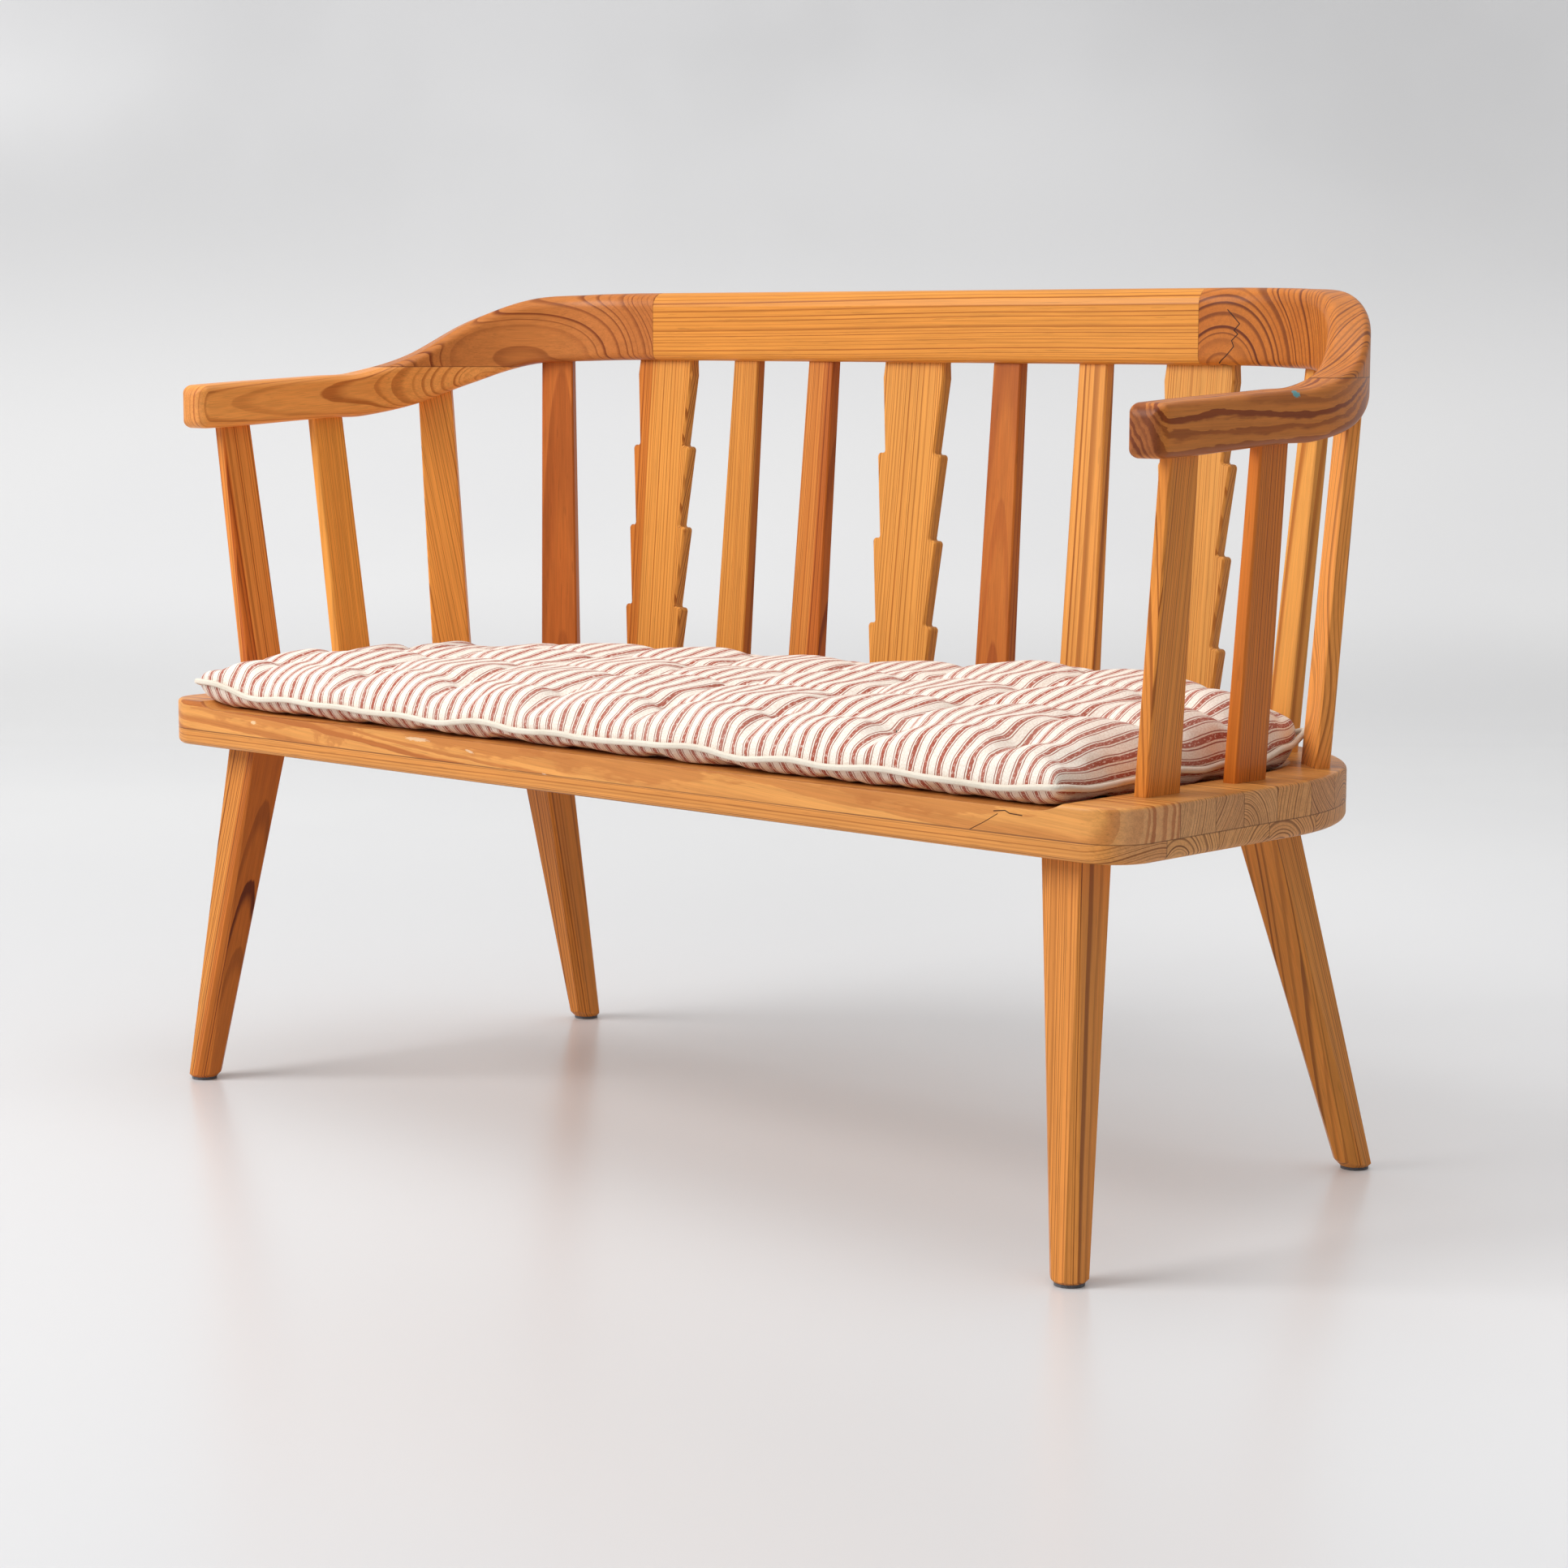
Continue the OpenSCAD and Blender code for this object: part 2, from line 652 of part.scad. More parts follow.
tip_stations = [0, 0.04, 0.15, 0.34, 0.6, 1] * arm_tip_r;
arm_stations = [for (i = [1 : 8]) mix(arm_tip_r, arm_run, i / 9)];
corner_stations = [for (i = [0 : 24]) arm_run + arc_run * i / 24];
ring_stations = concat(tip_stations, arm_stations, corner_stations, [rail_run]);

// Right arm and back corner as one solid, cut later at the glue plane
module arm_sweep() {
    k = len(ring_stations);
    rings = [for (i = [k - 1 : -1 : 0]) rail_ring(ring_stations[i])];
    n = len(rings[0]);
    caps = [
        [for (j = [0 : n - 1]) j],
        [for (j = [n - 1 : -1 : 0]) (k - 1) * n + j],
    ];
    polyhedron([for (r = rings) each r], concat(row_faces(k, n), caps));
}

module butt_dowels(end_gap) {
    half = dowel_length / 2 + end_gap;
    r = dowel_d / 2;
    for (z = dowel_zs)
        translate([butt_joint_x, rail_y, z]) rotate([0, 90, 0]) rotate_extrude($fn = 32)
            polygon([
                [0, -half],
                [r - 1, -half],
                [r, 1 - half],
                [r, half - 1],
                [r - 1, half],
                [0, half],
            ]);
}

module rail_upper_solid() {
    difference() {
        intersection() {
            arm_sweep();
            translate([0, 0, glue_plane_z]) cube([2 * rail_x, 2 * rail_y, butt_top]);
        }
        arm_slat_solid(3);
        translate([splat_x, 0, 0]) splat_ends();
        butt_dowels(dowel_end_gap);
    }
}

module arm_lower_solid() {
    difference() {
        intersection() {
            arm_sweep();
            cube([2 * rail_x, 2 * rail_y, glue_plane_z]);
        }
        for (k = [0 : 2]) arm_slat_solid(k);
    }
}

module rail_upper_right() color("chocolate") placed() rail_upper_solid();
module rail_upper_left() mirror([1, 0, 0]) rail_upper_right();
module arm_lower_right() color("sienna") placed() arm_lower_solid();
module arm_lower_left() mirror([1, 0, 0]) arm_lower_right();

module rail_centre() {
    color("tan") placed() difference() {
        run_x(-butt_joint_x, butt_joint_x) translate([rail_y, 0])
            polygon(rail_section(butt_under, butt_top, rail_edge_r, rail_front_edge_r, 0));
        upright_sockets();
        both_sides() butt_dowels(dowel_end_gap);
    }
}

module rail_dowels() {
    color("wheat") placed() both_sides() butt_dowels(0);
}

// Cushion

// Plan position from a square of -1 to 1, with the corners drawn in a little
function cushion_plan(u, v) =
    let (back = (v + 1) / 2)
    let (pull = mix(cushion_corner_pull[0], cushion_corner_pull[1], back))
    let (q = pull * pull / 2)
    [
        cushion_drift_x * back + cushion_length / 2 * u * sqrt(1 - q * v * v),
        cushion_depth / 2 * v * sqrt(1 - 4 * q * u * u * u * u),
    ];
function swell(d, w) = let (t = min(d / w, 1)) sqrt(max(t * (2 - t), 0));
function swelled(u, v, w) =
    let (a = swell((1 - abs(u)) * cushion_length / 2, w))
    let (b = swell((1 - abs(v)) * cushion_depth / 2, w))
    a * b == 0 ? 0 : 1 / sqrt(1 / (a * a) + 1 / (b * b) - 1);
function nearest(d, pitch, count) =
    let (k = round(d / pitch + (count - 1) / 2))
    d - (min(max(k, 0), count - 1) - (count - 1) / 2) * pitch;
function dimple(p) =
    let (dx = nearest(p.x, tuft_pitch.x, cushion_tufts.x))
    let (dy = nearest(p.y, tuft_pitch.y, cushion_tufts.y))
    tuft_dimple[0] * exp(-norm([dx, dy]) / tuft_dimple[1]);
function seam_z(u, v) = cushion_seam_z + cushion_seam_rise * (v + 1) / 2
    + corner_lift * pow(max(u * v, 0), 8);
function back_rise(u, v) = cushion_back_rise * max(u + 0.7, 0) / 1.7 * pow((v + 1) / 2, 1.5);
function spread(t) = 0.45 * t + 0.55 * sin(90 * t);

function cushion_top(u, v) =
    let (p = cushion_plan(u, v), s = swelled(u, v, cushion_swell_w[0]))
    [p.x, p.y, seam_z(u, v) + s * (cushion_crown_h + back_rise(u, v) - dimple(p))];
function cushion_bottom(u, v) =
    let (p = cushion_plan(u, v), s = swelled(u, v, cushion_swell_w[1]))
    [p.x, p.y, mix(seam_z(u, v), cushion_seam_z - cushion_seam_h, s)];

// Lines across the cushion: close together at the seams, then evenly from tuft to tuft
function grid_lines(half, pitch, count, parts, rings) =
    let (first = (count - 1) / 2 * pitch)
    concat(
        [for (d = rings) (d - half) / half],
        [for (i = [0 : (count - 1) * parts]) (i * pitch / parts - first) / half],
        [for (i = [len(rings) - 1 : -1 : 0]) (half - rings[i]) / half]
    );
cushion_us = grid_lines(cushion_length / 2, tuft_pitch.x, cushion_tufts.x, 4, seam_rings);
cushion_vs = grid_lines(cushion_depth / 2, tuft_pitch.y, cushion_tufts.y, 2,
    [for (i = [0 : 3]) seam_rings[i]]);

// The rim points are shared by the top and the bottom, so the bottom keeps inner points only.
// Each quarter of the cushion has its own slant of triangles, so no triangle cuts a corner off.
module seat_cushion() {
    nx = len(cushion_us) - 1;
    ny = len(cushion_vs) - 1;
    tops = [for (v = cushion_vs, u = cushion_us) cushion_top(u, v)];
    bottoms = [
        for (j = [1 : ny - 1], i = [1 : nx - 1]) cushion_bottom(cushion_us[i], cushion_vs[j])
    ];
    function top_id(i, j) = j * (nx + 1) + i;
    function bottom_id(i, j) = i == 0 || j == 0 || i == nx || j == ny
        ? top_id(i, j) : len(tops) + (j - 1) * (nx - 1) + i - 1;
    function corner_cell(i, j) = (2 * i < nx) == (2 * j < ny)
        ? [[[i, j], [i, j + 1], [i + 1, j + 1]], [[i, j], [i + 1, j + 1], [i + 1, j]]]
        : [[[i, j], [i, j + 1], [i + 1, j]], [[i + 1, j], [i, j + 1], [i + 1, j + 1]]];
    faces = [
        for (j = [0 : ny - 1], i = [0 : nx - 1], t = corner_cell(i, j))
            each [
                [for (p = t) top_id(p.x, p.y)],
                [for (p = [t[0], t[2], t[1]]) bottom_id(p.x, p.y)],
            ]
    ];
    color("mistyrose") placed() translate([cushion_c.x, cushion_c.y, 0])
        polyhedron(concat(tops, bottoms), faces);
}

// Point on the seam for a walk of 0 to 4 around its four sides
function seam_uv(t) = t < 1 ? [spread(2 * t - 1), -1]
    : t < 2 ? [1, spread(2 * t - 3)]
    : t < 3 ? [spread(5 - 2 * t), 1]
    : [-1, spread(7 - 2 * t)];
function seam_walk(k) =
    let (n = piping_stations, long = 0.37, part = k / n)
    part < long ? part / long
        : part < 0.5 ? 1 + (part - long) / (0.5 - long)
        : part < 0.5 + long ? 2 + (part - 0.5) / long
        : 3 + (part - 0.5 - long) / (0.5 - long);
function seam_point(k) =
    let (uv = seam_uv(seam_walk(k % piping_stations)))
    let (p = cushion_plan(uv[0], uv[1])) [p.x, p.y, seam_z(uv[0], uv[1])];

module cushion_piping() {
    n = piping_sides;
    count = piping_stations;
    r = piping_d / 2;
    rings = [
        for (k = [0 : count - 1])
            let (a = seam_point((k + count - 1) % count), b = seam_point((k + 1) % count))
            let (d = b - a, out = [d.y, -d.x, 0] / norm([d.x, d.y]))
            let (c = seam_point(k) + out * (r - piping_sink))
            [for (j = [0 : n - 1]) c + r * (cos(360 * j / n) * out + sin(360 * j / n) * [0, 0, 1])]
    ];
    faces = [
        for (k = [0 : count - 1], j = [0 : n - 1])
            let (m = (k + 1) % count, q = (j + 1) % n)
            each [[k * n + j, k * n + q, m * n + j], [k * n + q, m * n + q, m * n + j]]
    ];
    color("ivory") placed() translate([cushion_c.x, cushion_c.y, 0])
        polyhedron([for (r = rings) each r], faces);
}

seat_upper_stave(0);  // seat_upper_stave_1
seat_upper_stave(1);  // seat_upper_stave_2
seat_upper_stave(2);  // seat_upper_stave_3
seat_upper_stave(3);  // seat_upper_stave_4
seat_upper_stave(4);  // seat_upper_stave_5
seat_upper_stave(5);  // seat_upper_stave_6
seat_upper_stave(6);  // seat_upper_stave_7
seat_upper_stave(7);  // seat_upper_stave_8
seat_upper_stave(8);  // seat_upper_stave_9
seat_lower_stave(0);  // seat_lower_stave_1
seat_lower_stave(1);  // seat_lower_stave_2
seat_lower_stave(2);  // seat_lower_stave_3
seat_lower_stave(3);  // seat_lower_stave_4
seat_lower_stave(4);  // seat_lower_stave_5
seat_lower_stave(5);  // seat_lower_stave_6
seat_lower_stave(6);  // seat_lower_stave_7
leg_front_right();
leg_front_left();
leg_back_right();
leg_back_left();
felt_glides();
arm_slat(0);  // arm_slat_right_1
arm_slat(1);  // arm_slat_right_2
arm_slat(2);  // arm_slat_right_3
arm_slat(3);  // arm_slat_right_4
mirror([1, 0, 0]) arm_slat(0);  // arm_slat_left_1
mirror([1, 0, 0]) arm_slat(1);  // arm_slat_left_2
mirror([1, 0, 0]) arm_slat(2);  // arm_slat_left_3
mirror([1, 0, 0]) arm_slat(3);  // arm_slat_left_4
mirror([1, 0, 0]) back_slat(1);  // back_slat_1
mirror([1, 0, 0]) back_slat(0);  // back_slat_2
back_slat(0);  // back_slat_3
back_slat(1);  // back_slat_4
splat_left();
splat_centre();
splat_right();
rail_centre();
rail_upper_right();
rail_upper_left();
arm_lower_right();
arm_lower_left();
rail_dowels();
seat_cushion();
cushion_piping();
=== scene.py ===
import math

import bmesh
import bpy
import numpy as np
from mathutils import Matrix, Vector


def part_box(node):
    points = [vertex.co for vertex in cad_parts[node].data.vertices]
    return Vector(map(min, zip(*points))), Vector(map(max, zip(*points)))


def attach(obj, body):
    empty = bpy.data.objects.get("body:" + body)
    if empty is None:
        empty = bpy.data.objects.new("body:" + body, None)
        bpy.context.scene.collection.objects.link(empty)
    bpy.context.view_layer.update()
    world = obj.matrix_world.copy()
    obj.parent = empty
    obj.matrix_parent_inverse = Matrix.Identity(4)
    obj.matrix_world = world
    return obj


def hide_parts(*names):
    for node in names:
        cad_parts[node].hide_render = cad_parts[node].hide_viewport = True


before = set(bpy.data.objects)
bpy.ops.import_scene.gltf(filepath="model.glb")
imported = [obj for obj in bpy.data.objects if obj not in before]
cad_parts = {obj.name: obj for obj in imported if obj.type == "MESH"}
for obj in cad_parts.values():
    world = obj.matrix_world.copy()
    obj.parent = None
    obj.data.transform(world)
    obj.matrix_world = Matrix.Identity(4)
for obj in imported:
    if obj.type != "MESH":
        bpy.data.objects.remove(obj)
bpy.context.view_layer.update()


# --- Seat board, lower layer ---
# Seven staves of pine, edge-glued, with the grain along the settee. They are cut from different
# planks, so each has its own yearly rings, which show as arcs on its sawn ends.

class Signal:
    """An output of a node. Arithmetic on it adds maths nodes, for numbers or for vectors."""

    def __init__(self, tree, socket):
        self.tree, self.socket = tree, socket

    def maths(self, operation, *others):
        return self.tree.maths("ShaderNodeMath", operation, self, *others)

    def vector(self, operation, *others, output="Vector"):
        return self.tree.maths("ShaderNodeVectorMath", operation, self, *others, output=output)

    def by_kind(self, operation, other):
        number = self.socket.type == "VALUE"
        return self.maths(operation, other) if number else self.vector(operation, other)

    def __add__(self, other):
        return self.by_kind("ADD", other)

    def __sub__(self, other):
        return self.by_kind("SUBTRACT", other)

    def __mul__(self, other):
        return self.by_kind("MULTIPLY", other)

    def __truediv__(self, other):
        return self.by_kind("DIVIDE", other)

    def __abs__(self):
        return self.maths("ABSOLUTE")

    def length(self):
        return self.vector("LENGTH", output="Value")

    def dot(self, other):
        return self.vector("DOT_PRODUCT", other, output="Value")

    def scaled(self, factor):
        return self.tree.get("ShaderNodeVectorMath", operation="SCALE", Vector=self, Scale=factor)

    def parts(self):
        split = self.tree.add("ShaderNodeSeparateXYZ", Vector=self)
        return [Signal(self.tree, socket) for socket in split.outputs]

    def between(self, low, high, to_low=0.0, to_high=1.0):
        """A smooth step from to_low, at low, to to_high, at high."""
        step = self.tree.add("ShaderNodeMapRange", interpolation_type="SMOOTHSTEP")
        self.tree.feed_all(step, (self, low, high, to_low, to_high))
        return Signal(self.tree, step.outputs[0])


class Tree:
    """Short ways to add nodes to a node tree."""

    def __init__(self, tree):
        self.tree = tree

    def feed(self, socket, value):
        value = getattr(value, "socket", value)
        if isinstance(value, bpy.types.NodeSocket):
            self.tree.links.new(value, socket)
        else:
            socket.default_value = value

    def feed_all(self, node, values):
        for socket, value in zip(node.inputs, values):
            self.feed(socket, value)

    def set(self, node, **values):
        """Lower-case names are the node's settings, the others its inputs, with _ for a space."""
        for name, value in values.items():
            if name[0].islower():
                setattr(node, name, value)
            else:
                self.feed(node.inputs[name.replace("_", " ")], value)

    def add(self, kind, **values):
        node = self.tree.nodes.new(kind)
        self.set(node, **values)
        return node

    def get(self, kind, output=0, **values):
        return Signal(self, self.add(kind, **values).outputs[output])

    def maths(self, kind, operation, *values, output=0):
        node = self.add(kind, operation=operation)
        self.feed_all(node, values)
        return Signal(self, node.outputs[output])

    def blend(self, share, first, second, way="MIX"):
        node = self.add("ShaderNodeMix", data_type="RGBA", blend_type=way)
        for number, value in ((0, share), (6, first), (7, second)):
            self.feed(node.inputs[number], value)
        return node.outputs[2]

    def noise(self, place, stretch, detail=2.0, rough=0.5, output=0, dimensions="3D"):
        return self.get("ShaderNodeTexNoise", output, noise_dimensions=dimensions,
                        Vector=place * stretch, Scale=1.0, Detail=detail, Roughness=rough)

    def noise_of(self, number, **values):
        return self.get("ShaderNodeTexNoise", noise_dimensions="1D", W=number, **values)


def new_group(name, kind, inputs, outputs):
    """An empty node group, and its inputs by name. Both dicts give each socket's type."""
    group = bpy.data.node_groups.new(name, kind)
    for way, sockets in (("INPUT", inputs), ("OUTPUT", outputs)):
        for label, socket_type in sockets.items():
            group.interface.new_socket(label, in_out=way, socket_type="NodeSocket" + socket_type)
    tree = Tree(group)
    source = tree.add("NodeGroupInput")
    return tree, {label: Signal(tree, source.outputs[label]) for label in inputs}


def new_material(name):
    """A material, its tree, its shader, and the place on the object as a signal."""
    made = bpy.data.materials.new(name)
    made.use_nodes = True
    tree = Tree(made.node_tree)
    place = tree.get("ShaderNodeTexCoord", "Object")
    return made, tree, made.node_tree.nodes["Principled BSDF"], place


def paint(red, green, blue):
    """Linear colour of a shade written as 0 to 255."""
    return tuple(
        c / 12.92 if c <= 0.04045 else ((c + 0.055) / 1.055) ** 2.4
        for c in (red / 255, green / 255, blue / 255)
    ) + (1.0,)


def build_pine_grain():
    """Yearly rings round a pith line that is the z axis of Place, with fibres along it."""
    tree, inside = new_group("pine_grain", "ShaderNodeTree", {
        "Place": "Vector", "End": "Float", "Ring": "Float", "Wander": "Float",
        "Early": "Color", "Late": "Color", "Amber": "Float", "Knot": "Vector",
        "Knot size": "Float", "Knot lift": "Float", "Crowding": "Float", "Summer": "Float",
        "Heart": "Float", "Ripple": "Float", "End shade": "Color",
    }, {"Color": "Color", "Height": "Float", "Gloss": "Float"})
    place = inside["Place"]
    centre = (0.5, 0.5, 0.5)
    drift = tree.noise(place, (5.0, 5.0, 2.2), 1.0, output="Color") - centre
    ripple = tree.noise(place, (42.0, 42.0, 8.0), 4.0, 0.62, output="Color") - centre
    moved = place + drift.scaled(inside["Wander"] * 2.0) + ripple.scaled(inside["Ripple"])
    radius = (moved * (1.0, 1.0, 0.0)).length()

    from_knot = (place - inside["Knot"]) * (1.0, 1.0, 0.45)
    near = from_knot.length() / inside["Knot size"]
    near = (near * near * -1.0).maths("EXPONENT")
    radius = radius + near * inside["Knot lift"]

    # Later years lie closer together, by Crowding rings a metre for each metre outwards
    count = radius / inside["Ring"] + radius * radius * inside["Crowding"]
    count = count + tree.noise_of(count * 0.31, Scale=1.0, Detail=1.0) * 3.0
    year, season = count.maths("FLOOR"), count.maths("FRACT")

    # Late wood begins at Summer and ends sharply; its depth changes by the year and in spells
    late = season.between(inside["Summer"], inside["Summer"] + 0.30)
    late = late * season.between(0.95, 1.0, 1.0, 0.0)
    luck = tree.get("ShaderNodeTexWhiteNoise", noise_dimensions="1D", W=year)
    late = late * luck.between(0, 1, 0.60, 1.0)
    late = late * tree.noise_of(year * 0.17 + 40.0).between(0.36, 0.56, 0.45, 1.0)
    colour = tree.blend(late, inside["Early"], inside["Late"])

    # Older, redder wood in slow clouds that follow the rings, and the dark heartwood
    clouds = tree.noise(place, (11.0, 11.0, 1.6)) * 0.55 + tree.noise_of(count * 0.12) * 0.45
    clouds = clouds.between(0.42, 0.62)
    older, heartwood = (0.82, 0.63, 0.42, 1), (0.78, 0.58, 0.40, 1)
    colour = tree.blend(clouds * inside["Amber"], colour, older, "MULTIPLY")
    in_heart = inside["Heart"] + (clouds * 0.006 - 0.003) - radius
    colour = tree.blend(in_heart.between(-0.001, 0.003), colour, heartwood, "MULTIPLY")

    # Fibres and short resin lines along the grain
    fibre = tree.noise(place, (900.0, 900.0, 14.0), 2.0, 0.6)
    streak = tree.noise(place, (230.0, 230.0, 5.0), 2.0, 0.6)
    along = fibre * 0.55 + streak * 0.45
    ducts = tree.noise(place, (560.0, 560.0, 30.0), 1.0)
    shade = along.between(0.30, 0.70, 0.86, 1.11) * ducts.between(0.66, 0.74, 1.0, 0.84)
    grey = tree.get("ShaderNodeCombineColor", Red=shade, Green=shade, Blue=shade)
    colour = tree.blend(1.0, colour, grey, "MULTIPLY")

    # Sawn ends drink more varnish and take another shade
    sawn = tree.blend(1.0, colour, inside["End shade"], "MULTIPLY")
    gloss = late * -0.06 + (along * 0.16 + 0.33)
    tree.add("NodeGroupOutput", Color=tree.blend(inside["End"], colour, sawn),
             Height=late * 0.5 + along * 0.5, Gloss=inside["End"] * 0.12 + gloss)
    return tree.tree


pine_grain = build_pine_grain()


def nearest_line(tree, place, points, axes):
    """Distance to a broken line in the plane of two axes, in metres."""
    parts = place.parts()
    flat = tree.get("ShaderNodeCombineXYZ", X=parts[axes[0]], Y=parts[axes[1]])
    least = None
    for start, end in zip(points, points[1:]):
        run = Vector((end[0] - start[0], end[1] - start[1], 0))
        off = flat - (start[0], start[1], 0)
        share = tree.get("ShaderNodeClamp", Value=off.dot(tuple(run / run.length_squared)))
        reach = tree.get("ShaderNodeVectorMath", operation="SCALE", Vector=run, Scale=share)
        gap = (off - reach).length()
        least = gap if least is None else least.maths("MINIMUM", gap)
    return least


def pine(name, pith, along, ring, early, late, amber, wander=0.004, knot=None, joints=(),
         marks=(), cracks=(), grime=0.0, crowd=0.0, summer=0.52, heart=0.0, ripple=0.0008,
         ends=(0.82, 0.78, 0.82, 1), flat=False):
    """Varnished pine with its pith line through pith, along a direction. Knot is (place, size,
    lift of the rings); joints are (axis, coordinate) of glue lines; marks are spots of wear;
    cracks are (points, axes, half width, side) of checks in the surface that faces side; a flat
    piece keeps its plain facets, the others get softened edges."""
    made, tree, shader, place = new_material(name)
    direction = Vector(along).normalized()
    turned = direction.to_track_quat("Z", "X").to_euler()
    normal = tree.get("ShaderNodeNewGeometry", "Normal")
    knot_place, knot_size, knot_lift = knot or ((0, 0, 0), 1.0, 0.0)
    grain = tree.add(
        "ShaderNodeGroup", node_tree=pine_grain,
        Place=tree.get("ShaderNodeMapping", vector_type="TEXTURE", Vector=place,
                       Location=pith, Rotation=turned),
        End=abs(normal.dot(tuple(direction))).between(0.45, 0.92), Ring=ring, Wander=wander,
        Early=paint(*early), Late=paint(*late), Amber=amber, Crowding=crowd, Summer=summer,
        Heart=heart, Ripple=ripple, End_shade=ends,
        Knot=turned.to_matrix().inverted() @ (Vector(knot_place) - Vector(pith)),
        Knot_size=knot_size, Knot_lift=knot_lift)
    colour = grain.outputs["Color"]

    glue_shade, crack_shade, dirt_shade = paint(88, 48, 20), paint(46, 20, 8), (0.62, 0.52, 0.46, 1)
    parts = place.parts()
    for axis, coordinate in joints:
        line = abs(parts[axis] - coordinate).between(0.0002, 0.0008, 0.5, 0.0)
        colour = tree.blend(line, colour, glue_shade)
    for spot_place, size, turn, shade, strength in marks:
        spot = tree.get("ShaderNodeMapping", vector_type="TEXTURE", Vector=place,
                        Location=spot_place, Rotation=turn, Scale=size)
        ragged = tree.noise(spot, (2.6, 2.6, 2.6), 3.0, 0.65) * 1.6 - 0.8
        reach = spot.length() + ragged
        colour = tree.blend(reach.between(0.72, 0.92, strength, 0.0), colour, paint(*shade))
    for points, axes, half_width, side in cracks:
        gap = nearest_line(tree, place, points, axes)
        dark = gap.between(half_width * 0.4, half_width, 0.95, 0.0)
        colour = tree.blend(dark * normal.dot(side).between(0.3, 0.5), colour, crack_shade)
    if grime:
        dirt = tree.noise(place, (24.0, 24.0, 24.0), 4.0, 0.6).between(0.46, 0.66)
        colour = tree.blend(dirt * grime, colour, dirt_shade, "MULTIPLY")

    if flat:
        edge = tree.get("ShaderNodeNewGeometry", "True Normal")
    else:
        edge = tree.get("ShaderNodeBevel", samples=6, Radius=0.0012)
    bump = tree.get("ShaderNodeBump", Strength=0.35, Distance=0.0003,
                    Height=grain.outputs["Height"], Normal=edge)
    tree.set(shader, Base_Color=colour, Roughness=grain.outputs["Gloss"], Normal=bump,
             Specular_IOR_Level=0.22, Coat_Weight=0.04, Coat_Roughness=0.20)
    return made


def dress(cad_name, finish):
    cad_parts[cad_name].material_slots[0].material = finish


def middle(cad_name):
    low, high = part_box(cad_name)
    return (low + high) / 2


sawn_end = (1.02, 1.14, 1.80, 1)
board_half_depth = 0.25


def dress_stave(layer, number, board, glued_end, lean=None, wander=0.002, **more):
    """Glued_end is 0 where the other layer lies under the stave, and 1 where it lies over it."""
    (back, up), ring, crowd, tilt, early, late = board
    stave = f"seat_{layer}_stave_{number}"
    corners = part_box(stave)
    seams = [(1, corner.y) for corner in corners if abs(corner.y) < board_half_depth]
    dress(stave, pine(
        f"pine_{layer}_stave_{number}", middle(stave) + Vector((0, back, up)),
        (1, tilt, tilt / 2 if lean is None else lean), ring, early, late, 0.25, wander,
        crowd=crowd, ends=sawn_end, joints=seams + [(2, corners[glued_end].z)], **more))


# Pith from each stave's middle (back, up), ring width, crowding, lean of the log, colours
lower_boards = {
    1: ((0.014, -0.090), 0.0026, 0, 0.006, (221, 149, 76), (141, 78, 28)),
    2: ((-0.018, -0.016), 0.0040, 0, -0.004, (226, 156, 79), (128, 73, 29)),
    3: ((0.046, -0.034), 0.0030, 0, 0.004, (222, 152, 77), (126, 73, 29)),
    4: ((-0.022, -0.030), 0.0034, 0, 0.006, (222, 150, 76), (122, 69, 28)),
    5: ((-0.034, 0.022), 0.0030, 0, -0.008, (220, 148, 74), (122, 69, 28)),
    6: ((0.026, 0.030), 0.0028, 0, 0.006, (220, 148, 72), (120, 67, 26)),
    7: ((0.000, -0.046), 0.0030, 0, 0.005, (218, 146, 71), (118, 65, 26)),
}
for number, board in lower_boards.items():
    dress_stave("lower", number, board, 1)


# --- Seat board, upper layer ---
# Nine staves laid over the lower ones' glue joints and planed flush, with the shallow hollow for
# the cushion. The front stave is slab-sawn: a broad flame runs along it, between amber patches,
# and it has old scuffs and a check near its right end.

upper_boards = {
    1: ((-0.080, 0.045), 0.0450, 450, 0.006, (226, 157, 84), (184, 108, 50)),
    2: ((-0.120, 0.030), 0.0024, 0, -0.006, (222, 156, 84), (134, 81, 36)),
    3: ((-0.090, 0.052), 0.0026, 0, 0.006, (214, 148, 79), (120, 69, 29)),
    4: ((-0.028, -0.020), 0.0022, 0, 0.004, (222, 154, 81), (126, 73, 29)),
    5: ((0.120, -0.030), 0.0042, 0, -0.006, (222, 152, 77), (120, 67, 24)),
    6: ((0.050, 0.050), 0.0026, 0, 0.005, (206, 138, 72), (108, 59, 22)),
    7: ((0.010, -0.036), 0.0024, 0, -0.004, (212, 144, 74), (120, 67, 28)),
    8: ((-0.030, 0.030), 0.0028, 0, 0.008, (214, 144, 72), (120, 67, 26)),
    9: ((0.040, -0.036), 0.0030, 0, -0.006, (216, 146, 72), (122, 67, 26)),
}
front_face, upper_level, amber_patch = -0.2575, 0.3980, (186, 110, 52)
# Each amber patch: x, half length, half height
front_wear = [
    ((x, front_face, upper_level), (length, 0.006, height), (0, 0, 0), amber_patch, 0.5)
    for x, length, height in (
        (-0.470, 0.130, 0.0170), (-0.355, 0.050, 0.0270), (-0.130, 0.130, 0.0190),
        (0.060, 0.160, 0.0260), (0.420, 0.130, 0.0200))]
